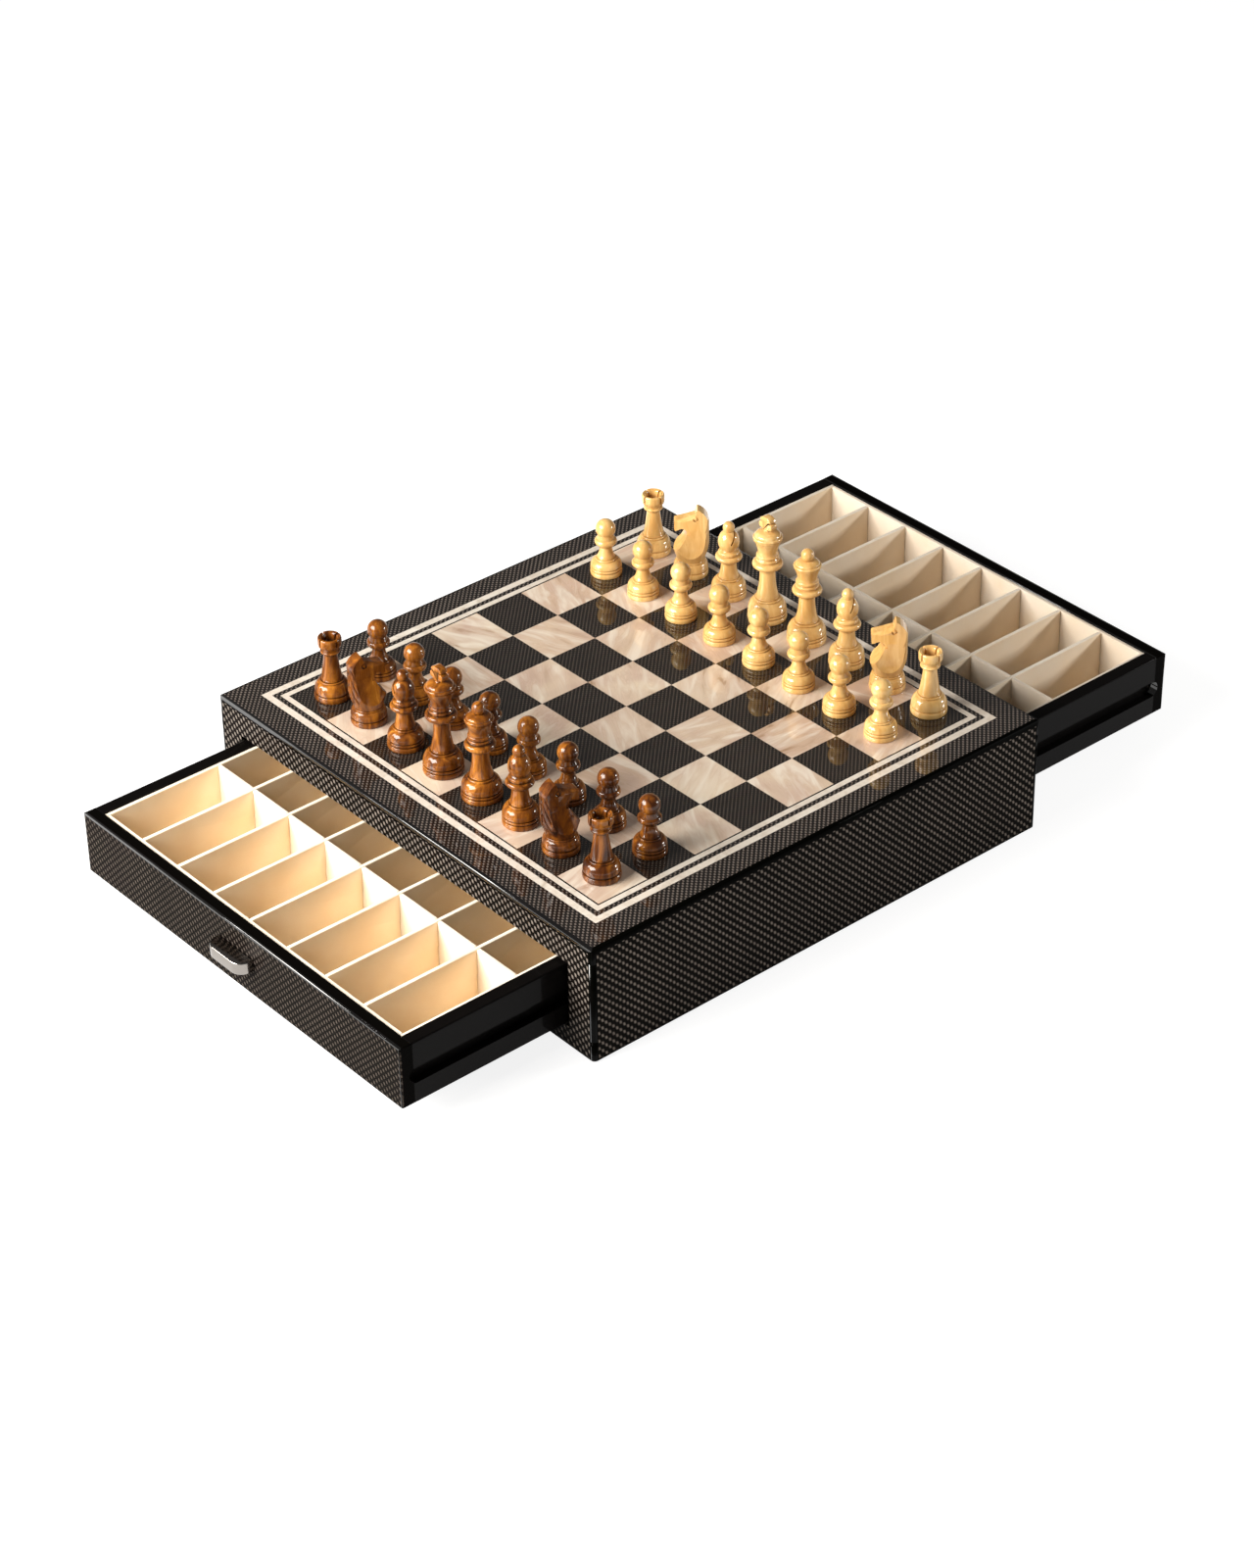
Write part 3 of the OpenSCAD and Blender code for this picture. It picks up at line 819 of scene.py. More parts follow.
@dataclass
class Shell:
    """A closed surface: its points, and its faces as lists of point numbers."""

    points: np.ndarray
    faces: list[list[int]]

    @classmethod
    def loft(cls, rows: np.ndarray) -> "Shell":
        """Skins rings of points, one row after the other.

        The surface is the grid of two parameters, along the rows and round each row. A first or last row
        that is a single spot closes as a pole, and any other is closed by one flat face.

        Args:
            rows: Array of (rows, points round, 3).

        Returns:
            The closed surface.
        """
        count, around = rows.shape[:2]
        ids = np.arange(count * around).reshape(count, around)
        poles = [np.ptp(rows[end], axis=0).max() < TOUCH for end in (0, -1)]
        for end, pole in zip((0, -1), poles):
            if pole:
                ids[end] = ids[end, 0]
        used, packed = np.unique(ids, return_inverse=True)
        ids = packed.reshape(ids.shape)
        here, there = ids[:-1], ids[1:]
        quads = np.stack([here, np.roll(here, -1, 1), np.roll(there, -1, 1), there], -1)
        faces = quads[int(poles[0]):len(quads) - int(poles[1])].reshape(-1, 4).tolist()
        if poles[0]:
            faces += quads[0][:, [0, 2, 3]].tolist()
        else:
            faces.append(ids[0][::-1].tolist())
        if poles[1]:
            faces += quads[-1][:, [0, 1, 2]].tolist()
        else:
            faces.append(ids[-1].tolist())
        return cls(rows.reshape(-1, 3)[used], faces)

    @classmethod
    def joined(cls, shells: Sequence["Shell"]) -> "Shell":
        """Puts several surfaces in one.

        Args:
            shells: The surfaces.

        Returns:
            The joined surface.
        """
        starts = np.cumsum([0] + [len(shell.points) for shell in shells])
        faces = [[number + int(start) for number in face]
                 for shell, start in zip(shells, starts) for face in shell.faces]
        return cls(np.concatenate([shell.points for shell in shells]), faces)

    def volume(self) -> float:
        """Adds up the signed volumes of the fans of its faces, below zero for an inside-out surface.

        Returns:
            The volume.
        """
        total = 0.0
        for length in {len(face) for face in self.faces}:
            fan = self.points[np.array([face for face in self.faces if len(face) == length])]
            first, second, third = fan[:, :1], fan[:, 1:-1], fan[:, 2:]
            total += float((first * np.cross(second, third)).sum()) / 6.0
        return total

    def outward(self) -> "Shell":
        """Turns the faces to point outwards.

        Returns:
            The surface, or a copy of it that is turned.
        """
        if self.volume() < 0.0:
            return Shell(self.points, [face[::-1] for face in self.faces])
        return self

    def piece(self, name: str, crease: float = 35.0) -> bpy.types.Object:
        """Makes the object of this surface, smooth but for its sharp edges.

        Args:
            name: Name of the piece.
            crease: Angle in degrees past which an edge stays sharp.

        Returns:
            The new object, at the origin.
        """
        shell = self.outward()
        mesh = bpy.data.meshes.new(name)
        mesh.from_pydata(shell.points, [], shell.faces)
        mesh.update()
        soften(mesh, crease)
        return linked(name, mesh)


def linked(name: str, data: bpy.types.ID) -> bpy.types.Object:
    """Makes the object of a mesh, a lamp or a camera, and puts it in the scene.

    Args:
        name: Name of the object.
        data: Its mesh, lamp or camera.

    Returns:
        The new object.
    """
    thing = bpy.data.objects.new(name, data)
    bpy.context.scene.collection.objects.link(thing)
    return thing


def soften(mesh: bpy.types.Mesh, crease: float) -> None:
    """Shades a mesh smooth and keeps the edges past an angle in degrees sharp."""
    mesh.polygons.foreach_set("use_smooth", np.ones(len(mesh.polygons), bool))
    mesh.set_sharp_from_angle(angle=math.radians(crease))


def lathe(profile: np.ndarray, around: int = 72) -> Shell:
    """Turns a profile about Z: the point at angle a of a profile point (r, z) is (r cos a, r sin a, z).

    Args:
        profile: Array of (points, 2), from the bottom up.
        around: Number of points in a ring.

    Returns:
        The closed surface.
    """
    angles = np.linspace(0.0, 2.0 * math.pi, around, endpoint=False)
    radius, height = profile[:, :1], profile[:, 1:]
    rows = np.stack([radius * np.cos(angles), radius * np.sin(angles), np.repeat(height, around, 1)], -1)
    return Shell.loft(rows)


def rounded(outline: np.ndarray, radius: float, steps: int = 4) -> np.ndarray:
    """Rounds the corners of a closed outline.

    Each corner point P between its neighbours gives way to the curve (1-t)^2 A + 2t(1-t) P + t^2 B, where
    A and B lie on the two edges, a radius away from P or two fifths of a shorter edge.

    Args:
        outline: Array of (corners, 2).
        radius: Distance from a corner at which its curve starts.
        steps: Number of steps in each curve.

    Returns:
        The new outline.
    """
    ends = []
    for shift in (1, -1):
        edge = np.roll(outline, shift, 0) - outline
        length = np.linalg.norm(edge, axis=1, keepdims=True)
        ends.append(outline + edge / length * np.minimum(radius, 0.4 * length))
    t = np.linspace(0.0, 1.0, steps + 1)[None, :, None]
    start, middle, end = ends[0][:, None], outline[:, None], ends[1][:, None]
    return ((1 - t) ** 2 * start + 2 * t * (1 - t) * middle + t ** 2 * end).reshape(-1, 2)


def inset(outline: np.ndarray, depth: float) -> np.ndarray:
    """Moves a closed outline inwards: each point goes along the mean of its two edges' normals, by the
    depth over the cosine of half the turn.

    Args:
        outline: Array of (points, 2), anticlockwise.
        depth: The distance.

    Returns:
        The new outline.
    """
    edge = np.roll(outline, -1, 0) - outline
    edge /= np.maximum(np.linalg.norm(edge, axis=1, keepdims=True), 1e-12)
    normal = np.stack([edge[:, 1], -edge[:, 0]], -1)
    before = np.roll(normal, 1, 0)
    # The least share keeps the point of a very sharp corner from running far in
    share = np.maximum(1.0 + (normal * before).sum(1, keepdims=True), 0.25)
    return outline - (normal + before) / share * depth


def slab(outline: np.ndarray, low: float, high: float, ease: float, axes: tuple[int, int, int] = (0, 1, 2),
         steps: int = 3) -> Shell:
    """Makes a plate with rounded edges: its outline, carried along a quarter round at each face.

    The ring at angle a of a quarter round is the outline moved in by ease (1 - sin a), at ease (1 - cos a)
    from the face.

    Args:
        outline: Array of (points, 2), anticlockwise.
        low: Place of the first face.
        high: Place of the second face.
        ease: Radius of the edges.
        axes: Axes of the outline's two coordinates and of the thickness.
        steps: Number of steps in each quarter round.

    Returns:
        The plate.
    """
    angles = np.linspace(0.0, math.pi / 2, steps + 1)
    rises = ease * (1.0 - np.cos(angles))
    depths = ease * (1.0 - np.sin(angles))
    levels = np.concatenate([low + rises, high - rises[::-1]])
    rows = np.zeros((len(levels), len(outline), 3))
    for row, depth, level in zip(rows, np.concatenate([depths, depths[::-1]]), levels):
        row[:, list(axes[:2])] = inset(outline, depth)
        row[:, axes[2]] = level
    return Shell.loft(rows).outward()


def rectangle(low: Sequence[float], high: Sequence[float]) -> np.ndarray:
    """Gives the anticlockwise outline of a rectangle between two corners."""
    return np.array(((low[0], low[1]), (high[0], low[1]), (high[0], high[1]), (low[0], high[1])), float)


def brick(low: Sequence[float], high: Sequence[float], ease: float) -> Shell:
    """Makes a block between two corners with rounded edges, its outline in X and Y."""
    return slab(rounded(rectangle(low, high), 1.5 * ease, 3), low[2], high[2], ease)


def arc(x: float, z: float, rx: float, rz: float, start: float, stop: float, steps: int = 14) -> np.ndarray:
    """Gives points of an elliptical arc about (x, z): (x + rx cos a, z + rz sin a).

    Args:
        x: Centre's radius.
        z: Centre's height.
        rx: Half width.
        rz: Half height.
        start: First angle in degrees.
        stop: Last angle in degrees.
        steps: Number of steps.

    Returns:
        Array of (steps + 1, 2).
    """
    angles = np.radians(np.linspace(start, stop, steps + 1))
    return np.stack([x + rx * np.cos(angles), z + rz * np.sin(angles)], -1)


def spots(*points: tuple[float, float]) -> np.ndarray:
    """Gives single points of a profile."""
    return np.array(points)


def combine(body: bpy.types.Object, tool: bpy.types.Object, operation: str) -> bpy.types.Object:
    """Cuts, joins or intersects one solid piece with another, which is used up.

    Args:
        body: The piece that is kept.
        tool: The piece that acts on it.
        operation: Blender's name of the operation.

    Returns:
        The kept piece.
    """
    modifier = body.modifiers.new(operation.lower(), "BOOLEAN")
    modifier.operation = operation
    modifier.solver = "EXACT"
    modifier.object = tool
    bpy.context.view_layer.update()
    shaped = body.evaluated_get(bpy.context.evaluated_depsgraph_get())
    mesh = bpy.data.meshes.new_from_object(shaped)
    body.modifiers.clear()
    body.data = mesh
    bpy.data.objects.remove(tool)
    return body


def eased(source: bpy.types.Object, name: str, limits: Sequence[float], radius: float,
          steps: int = 5) -> bpy.types.Object:
    """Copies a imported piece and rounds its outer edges, where two of the object's outer faces meet.

    Args:
        source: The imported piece.
        name: Name of the copy.
        limits: The absolute x and y and the z at which those outer faces lie.
        radius: Size of the rounding.
        steps: Number of faces across it.

    Returns:
        The copy: its rounded edges are smooth, and all its other faces are flat.
    """
    net = bmesh.new()
    net.from_mesh(source.data)
    net.transform(source.matrix_world)
    bmesh.ops.remove_doubles(net, verts=net.verts, dist=TOUCH)
    bmesh.ops.dissolve_limit(net, angle_limit=0.001, verts=net.verts, edges=net.edges)
    outer = [edge for edge in net.edges if sum(
        all(abs(abs(end.co[axis]) - limit) < TOUCH for end in edge.verts)
        for axis, limit in enumerate(limits)) > 1]
    if outer:
        bmesh.ops.bevel(net, geom=outer, offset=radius, segments=steps, profile=0.5, affect="EDGES")
    net.normal_update()
    net.verts.index_update()
    mesh = bpy.data.meshes.new(name)
    mesh.from_pydata([tuple(vert.co) for vert in net.verts], [],
                     [[vert.index for vert in face.verts] for face in net.faces])
    mesh.polygons.foreach_set("use_smooth", [max(abs(part) for part in face.normal) < ALONG
                                             for face in net.faces])
    net.free()
    return linked(name, mesh)


def glaze(thing: bpy.types.Object, finish: bpy.types.Material,
          picked: Callable[[bpy.types.MeshPolygon], bool]) -> None:
    """Gives some faces of a piece a finish of their own.

    Args:
        thing: The piece, which has its main finish already.
        finish: The faces' finish.
        picked: Tells whether a face is one of them.
    """
    thing.data.materials.append(finish)
    slot = len(thing.data.materials) - 1
    for face in thing.data.polygons:
        if picked(face):
            face.material_index = slot


def end_edge(face: bpy.types.MeshPolygon) -> bool:
    """Tells whether a face is of a rounded edge along X: it looks hardly sideways and not straight up."""
    return face.use_smooth and abs(face.normal.x) < 0.1 and abs(face.normal.y) > 0.01


def show(thing: bpy.types.Object, finish: bpy.types.Material, body: str, slot: str, *nodes: str) -> None:
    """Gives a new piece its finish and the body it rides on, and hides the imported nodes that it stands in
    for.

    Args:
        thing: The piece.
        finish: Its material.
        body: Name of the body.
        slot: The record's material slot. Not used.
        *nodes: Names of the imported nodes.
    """
    thing.data.materials.clear()
    thing.data.materials.append(finish)
    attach(thing, body)
    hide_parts(*nodes)
    LOG.info("built %s", thing.name)


def dress(nodes: dict[str, bpy.types.Object], finish: bpy.types.Material, *names: str) -> None:
    """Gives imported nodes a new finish.

    Args:
        nodes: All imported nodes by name.
        finish: The material.
        *names: Names of the nodes.
    """
    for name in names:
        for holder in nodes[name].material_slots:
            holder.material = finish
        LOG.info("dressed %s", name)


# ---------------------------------------------------------------------------------------------------- case


@dataclass
class Case:
    """The case: its lacquered shell with woven faces, its felt and the runners inside."""

    nodes: dict[str, bpy.types.Object]
    # Bare lacquer round the weave of each side
    top_band: float = 4.2 * MM
    foot_band: float = 1.0 * MM
    corner_band: float = 4.0 * MM
    edge: float = 1.4 * MM
    felt_ease: float = 0.6 * MM
    felt_corner: float = 4.0 * MM
    # How level a face of the rim round the board is at least, and how far under the top it may lie
    rim_level: float = 0.99
    rim_depth: float = 0.01 * MM

    def clad(self, name: str, sides: bpy.types.Material, edges: bpy.types.Material,
             rim: bpy.types.Material) -> None:
        """Covers one piece of the shell, with the case's outer edges eased.

        Args:
            name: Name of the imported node.
            sides: Finish of the plain faces.
            edges: Finish of the eased edges at the top of the two ends.
            rim: Finish of the rim that is left round the board.
        """
        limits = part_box("top_panel")[1]
        thing = eased(self.nodes[name], f"{name}_clad", limits, self.edge)
        show(thing, sides, "case", "carbon_weave", name)
        glaze(thing, edges, end_edge)
        glaze(thing, rim, lambda face: face.normal.z > self.rim_level
              and face.center.z > limits.z - self.rim_depth)

    def build(self, edges: bpy.types.Material, rim: bpy.types.Material) -> None:
        """Covers the shell and replaces the felt by a sheet with soft edges.

        Args:
            edges: Finish of the eased edges at the top of the two ends.
            rim: Finish of the top's rim round the board.
        """
        low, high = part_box("base_felt")
        sheet = slab(rounded(rectangle(low, high), self.felt_corner, 6), low.z, high.z, self.felt_ease)
        show(sheet.piece("felt_sheet"), Felt().material(), "case", "felt", "base_felt")
        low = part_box("base_panel")[0] + Vector((self.corner_band, self.corner_band, self.foot_band))
        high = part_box("top_panel")[1] - Vector((self.corner_band, self.corner_band, self.top_band))
        sides = Weave("side_weave", low=tuple(low), high=tuple(high), coat=SIDE_COAT, dark=(4, 4, 3),
                      dull=(21, 18, 15), bright=(134, 124, 116), sheen=0.0).material()
        for name in ("base_panel", "side_wall_left", "side_wall_right", "top_panel"):
            self.clad(name, sides, edges, rim)
        dress(self.nodes, sides, "top_rails")

    def dress(self) -> None:
        """Gives the inner pieces their own finish."""
        dress(self.nodes, BAY_LACQUER.material(), "centre_partition")
        dress(self.nodes, BEECH.material(), "runners")


@dataclass
class Board:
    """The playing board: woven border and dark squares, pearl squares and two inlay lines."""

    nodes: dict[str, bpy.types.Object]
    # Distance from the middle to the outer side of the thin dark line round the squares
    line_reach: float = 165.3 * MM
    coat: ClearCoat = ClearCoat(roughness=0.02, index=1.6)

    def border(self) -> Weave:
        """Gives the woven border's finish."""
        return Weave("border_weave", pitch=2.0 * MM, lean=0.2, coat=self.coat, turned=True,
                     bright=(128, 116, 108), line=self.line_reach)

    def dress(self, border: bpy.types.Material) -> None:
        """Gives each veneer its finish.

        Args:
            border: The woven border's finish.
        """
        square = Weave("square_weave", pitch=1.77 * MM, lean=0.25, coat=self.coat, bright=(92, 82, 74),
                       dull=(40, 35, 31))
        dress(self.nodes, border, "carbon_veneer")
        dress(self.nodes, square.material(), "carbon_squares")
        dress(self.nodes, Pearl(coat=self.coat).material(), "pearl_squares")
        dress(self.nodes, Inlay(coat=self.coat).material(), "inlay_lines")


# ------------------------------------------------------------------------------------------------- drawers


@dataclass
class Drawer:
    """One drawer: lacquered box, woven face, napped lining and dividers, and a plated pull."""

    nodes: dict[str, bpy.types.Object]
    end: End
    columns: int = 8
    sheet: float = 3.0 * MM
    pad: float = 2.0 * MM
    gap: float = 0.1 * MM
    long_slot: float = 88.5 * MM
    ease: float = 0.45 * MM
    notch_ease: float = 0.6 * MM
    # Bare lacquer round the weave of the face
    face_band: float = 1.5 * MM
    top_band: float = 2.6 * MM
    front_ease: float = 0.8 * MM
    name: str = field(init=False)

    def __post_init__(self) -> None:
        """Takes the drawer's name from its end."""
        self.name = self.end.name.lower()

    def across(self, low_y: float, high_y: float) -> tuple[float, float]:
        """Orders two distances from the drawer's face as coordinates along Y.

        Args:
            low_y: The first distance.
            high_y: The second distance.

        Returns:
            The lower and the higher Y.
        """
        face = self.face_y()
        first, second = face - self.end.value * low_y, face - self.end.value * high_y
        return min(first, second), max(first, second)

    def face_y(self) -> float:
        """Gives the Y of the drawer's face."""
        low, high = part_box(f"{self.name}_drawer_front")
        return low.y if self.end is End.FRONT else high.y

    def sheets(self) -> Shell:
        """Makes the lining: a rounded sheet on each wall and a pad between them on the bottom.

        Returns:
            The lining.
        """
        low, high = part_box(f"{self.name}_drawer_lining")
        side, gap = self.sheet, self.gap
        left, right = low.x + side + gap, high.x - side - gap
        blocks = [
            ((left, low.y + side + gap, low.z), (right, high.y - side - gap, low.z + self.pad)),
            ((low.x, low.y, low.z), (low.x + side, high.y, high.z)),
            ((high.x - side, low.y, low.z), (high.x, high.y, high.z)),
            ((left, low.y, low.z), (right, low.y + side, high.z)),
            ((left, high.y - side, low.z), (right, high.y, high.z)),
        ]
        return Shell.joined([brick(first, second, self.ease) for first, second in blocks])

    def dividers(self) -> Shell:
        """Makes the dividers, which halve into each other: long ones notched below, the cross one above.

        Returns:
            All the strips.
        """
        low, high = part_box(f"{self.name}_drawer_dividers")
        gap, side = self.gap, self.sheet
        width = (high.x - low.x + 2 * gap - (self.columns - 1) * side) / self.columns
        starts = low.x - gap + width + (width + side) * np.arange(self.columns - 1)
        lap = (high.z - low.z) / 2 + gap
        slot_front = abs((low.y if self.end is End.FRONT else high.y) - self.face_y()) - gap
        cross = self.across(slot_front + self.long_slot, slot_front + self.long_slot + side)
        notched = np.array((
            (low.y, low.z), (cross[0] - gap, low.z), (cross[0] - gap, low.z + lap),
            (cross[1] + gap, low.z + lap), (cross[1] + gap, low.z), (high.y, low.z),
            (high.y, high.z), (low.y, high.z)))
        shells = [slab(rounded(notched, self.notch_ease, 3), start, start + side, self.ease, (1, 2, 0))
                  for start in starts]
        teeth = [np.array(((start + side + gap, high.z), (start + side + gap, high.z - lap),
                           (start - gap, high.z - lap), (start - gap, high.z))) for start in starts[::-1]]
        comb = np.concatenate([np.array(((low.x, low.z), (high.x, low.z), (high.x, high.z))), *teeth,
                               np.array(((low.x, high.z),))])
        shells.append(slab(rounded(comb, self.notch_ease, 3), *cross, self.ease, (0, 2, 1)))
        return Shell.joined(shells)

    def build(self, lining: bpy.types.Material, chrome: bpy.types.Material) -> None:
        """Builds the soft pieces and the pull.

        Args:
            lining: Finish of the lining and the dividers.
            chrome: Finish of the pull.
        """
        body = f"{self.name}_drawer"
        pull = Pull(self.name, self.end)
        for shell, piece, finish, slot, node in (
            (self.sheets(), "lining_sheets", lining, "cream_lining", "drawer_lining"),
            (self.dividers(), "divider_set", lining, "cream_lining", "drawer_dividers"),
            (pull.shell(), "half_moon_pull", chrome, "chrome", "pull"),
        ):
            show(shell.piece(f"{self.name}_{piece}"), finish, body, slot, f"{self.name}_{node}")

    def dress(self, lacquer: bpy.types.Material, edges: bpy.types.Material,
              steel: bpy.types.Material) -> None:
        """Eases the front's outer edges and gives the wooden box and the screws their finish.

        The weave covers the outer face only, so its box along Y is a thin one at that face.

        Args:
            lacquer: Finish of the sides, back and bottom.
            edges: Finish of the front's eased edges.
            steel: Finish of the screws.
        """
        front = f"{self.name}_drawer_front"
        low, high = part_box(front)
        band, face = self.face_band, self.face_y()
        weave = Weave(f"{self.name}_face_weave", pitch=2.65 * MM, dark=(7, 6, 5), dull=(22, 19, 17),
                      bright=(79, 71, 65), coat=SIDE_COAT, sheen=0.0,
                      low=(low.x + band, face - band, low.z + band),
                      high=(high.x - band, face + band, high.z - self.top_band))
        limits = (high.x, max(-low.y, high.y), high.z)
        board = eased(self.nodes[front], f"{front}_eased", limits, self.front_ease)
        show(board, weave.material(), f"{self.name}_drawer", "carbon_weave", front)
        glaze(board, edges, end_edge)
        dress(self.nodes, lacquer, *(f"{self.name}_drawer_{part}" for part in ("sides", "back", "bottom")))
        dress(self.nodes, steel, f"{self.name}_pull_screws")


@dataclass
class Pull:
    """Half-moon pull: a flat top, a skirt round its front and a plate on the drawer, open below."""

    name: str
    end: End
    corner: float = 9.0 * MM
    wall: float = 1.6 * MM
    ease: float = 0.8 * MM
    heel_ease: float = 0.5 * MM
    roof_ease: float = 0.3 * MM

    def plan(self, depth: float) -> np.ndarray:
        """Gives the half-moon outline, moved in by a depth, with its straight edge towards the drawer.

        Args:
            depth: The distance.

        Returns:
            Array of (points, 2), anticlockwise about the pull's own middle.
        """
        low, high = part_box(f"{self.name}_pull")
        width, reach = high.x - low.x, high.y - low.y
        radius = self.corner
        right = arc(width / 2 - radius, reach - radius, radius, radius, 0.0, 90.0, 16)
        left = right[::-1] * (-1.0, 1.0)
        outline = np.concatenate([spots((width / 2, 0.0)), right, left, spots((-width / 2, 0.0))])
        return inset(rounded(outline, self.heel_ease), depth)

    def shell(self) -> Shell:
        """Carries the pull's section round the half moon: top, outer wall, lip, inner wall and roof.

        Returns:
            The pull, in its place.
        """
        low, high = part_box(f"{self.name}_pull")
        middle = (low.x + high.x) / 2
        bend = np.linspace(0.0, math.pi / 2, 5)
        turn = np.linspace(0.0, math.pi, 9)
        lip = self.wall / 2
        section = [(depth, high.z - self.ease * (1 - math.cos(angle)))
                   for angle in bend for depth in (self.ease * (1 - math.sin(angle)),)]
        section += [(lip * (1 - math.cos(angle)), low.z + lip * (1 - math.sin(angle))) for angle in turn]
        section += [(self.wall, high.z - self.wall - self.roof_ease),
                    (self.wall + self.roof_ease, high.z - self.wall)]
        rings = []
        for depth, level in section:
            ring = self.plan(depth)
            rings.append(np.column_stack([ring, np.full(len(ring), level)]))
        rows = np.array(rings)
        if self.end is End.FRONT:
            rows[..., 1] = high.y - rows[..., 1]
        else:
            rows[..., 1] = low.y + rows[..., 1]
        rows[..., 0] += middle
        return Shell.loft(rows).outward()


# ---------------------------------------------------------------------------------------------------- men

# How fast a stem thins above its pedestal, how fast the rook does, and how fast a cup widens
STEM_POWER = 2.2
TOWER_POWER = 1.3
CUP_POWER = 1.6


def bead(radius: float, z: float, height: float, depth: float) -> np.ndarray:
    """Gives a ring with a rounded edge, from height z up, that stands out by a depth."""
    return arc(radius - depth, z + height / 2, depth, height / 2, -90.0, 90.0, 10)


def sweep(start: Sequence[float], stop: Sequence[float], power: float, steps: int = 18) -> np.ndarray:
    """Gives a hollow curve between two points: with t from 0 to 1, the radius is r1 + (r0 - r1)(1 - t)^power.

    Args:
        start: Radius and height of the first point.
        stop: Radius and height of the last point.
        power: How fast the curve levels out.
        steps: Number of steps.

    Returns:
        Array of (steps + 1, 2).
    """
    t = np.linspace(0.0, 1.0, steps + 1)
    radius = stop[0] + (start[0] - stop[0]) * (1.0 - t) ** power
    return np.stack([radius, start[1] + (stop[1] - start[1]) * t], -1)


def cup(start: Sequence[float], stop: Sequence[float]) -> np.ndarray:
    """Gives a cup that opens upwards between two points: the radius grows with a power of the height."""
    return sweep(stop, start, CUP_POWER)[::-1]


def pedestal(foot: float, ring: float, shoulder: float, neck: float, edge: float) -> np.ndarray:
    """Gives the foot, second ring, rounded shoulder and two small rings that every man stands on.

    Args:
        foot: Height of the foot.
        ring: Height of the ring above it, or zero for none.
        shoulder: Height of the shoulder's top.
        neck: Radius there.
        edge: Height of the lower of the two small rings.

    Returns:
        The profile in shares of the base radius and of the man's height.
    """
    # Radius of the wood between two rings
    waist = 0.9
    rise = 1.16 * foot
    low = rise + (ring + 0.15 * foot if ring else 0.0)
    parts = [spots((0.0, 0.0)), bead(1.0, 0.0, 0.95 * foot, 0.05),
             spots((waist, 0.97 * foot), (waist, 1.15 * foot))]
    if ring:
        parts += [bead(0.985, rise, ring, 0.035), spots((waist, rise + ring), (waist, low))]
    parts += [arc(neck, low, 0.975 - neck, shoulder - low, 5.0, 85.0, 18),
              bead(neck + 0.05, shoulder, edge, 0.04),
              bead(neck - 0.05, shoulder + 1.2 * edge, 0.8 * edge, 0.03)]
    return np.concatenate(parts)


def collar(radius: float, z: float, height: float, under: float) -> np.ndarray:
    """Gives a wide ring on a sloping underside, its middle at height z."""
    return np.concatenate([np.array(((under, z - height),)), bead(radius, z - height / 2, height, 0.14)])


# Each man's profile, in shares of his base radius and of his height
PROFILES: dict[Rank, np.ndarray] = {
    # Up to the foot of his cross
    Rank.KING: np.concatenate([
        pedestal(foot=0.048, ring=0.02, shoulder=0.19, neck=0.63, edge=0.016),
        sweep((0.56, 0.226), (0.395, 0.46), STEM_POWER),
        collar(0.775, 0.54, 0.055, 0.42), bead(0.6, 0.578, 0.024, 0.05), bead(0.575, 0.61, 0.03, 0.05),
        cup((0.49, 0.655), (0.73, 0.785)), bead(0.745, 0.788, 0.028, 0.06),
        arc(0.2, 0.818, 0.46, 0.045, 0.0, 85.0, 10), spots((0.2, 0.87), (0.0, 0.87))]),
    # With the ball on her coronet
    Rank.QUEEN: np.concatenate([
        pedestal(foot=0.052, ring=0.022, shoulder=0.2, neck=0.63, edge=0.018),
        sweep((0.56, 0.238), (0.4, 0.48), STEM_POWER),
        collar(0.75, 0.548, 0.06, 0.43), bead(0.59, 0.592, 0.026, 0.05), bead(0.57, 0.627, 0.032, 0.05),
        cup((0.49, 0.672), (0.68, 0.795)), bead(0.7, 0.798, 0.028, 0.06),
        arc(0.16, 0.828, 0.45, 0.04, 0.0, 80.0, 10), arc(0.0, 0.918, 0.33, 0.066, -50.0, 90.0, 22)]),
    # With the ball on his mitre
    Rank.BISHOP: np.concatenate([
        pedestal(foot=0.065, ring=0.028, shoulder=0.235, neck=0.62, edge=0.022),
        sweep((0.55, 0.283), (0.435, 0.45), STEM_POWER),
        collar(0.755, 0.53, 0.065, 0.46), bead(0.6, 0.572, 0.04, 0.05), spots((0.5, 0.618)),
        arc(0.0, 0.738, 0.6, 0.155, -42.0, 62.0, 24), arc(0.0, 0.922, 0.33, 0.078, -35.0, 90.0, 18)]),
    # With the rounded hollow in its battlement
    Rank.ROOK: np.concatenate([
        pedestal(foot=0.095, ring=0.0, shoulder=0.275, neck=0.64, edge=0.026),
        sweep((0.57, 0.33), (0.37, 0.72), TOWER_POWER),
        bead(0.54, 0.75, 0.036, 0.05), cup((0.47, 0.792), (0.62, 0.86)),
        spots((0.645, 0.89), (0.645, 0.965)), arc(0.575, 0.965, 0.07, 0.035, 10.0, 90.0, 5),
        arc(0.48, 0.9, 0.11, 0.092, 60.0, 180.0, 8)[1:], spots((0.33, 0.875), (0.2, 0.862), (0.0, 0.86))]),
    Rank.PAWN: np.concatenate([
        pedestal(foot=0.085, ring=0.04, shoulder=0.272, neck=0.62, edge=0.026),
        sweep((0.55, 0.33), (0.385, 0.5), STEM_POWER),
        collar(0.695, 0.605, 0.1, 0.43), spots((0.52, 0.69)),
        arc(0.0, 0.832, 0.625, 0.168, -38.0, 90.0, 30)]),
    # The stand only, up to the waist under the head
    Rank.KNIGHT: np.concatenate([
        pedestal(foot=0.079, ring=0.0, shoulder=0.211, neck=0.78, edge=0.024),
        spots((0.66, 0.268), (0.0, 0.268))]),
}

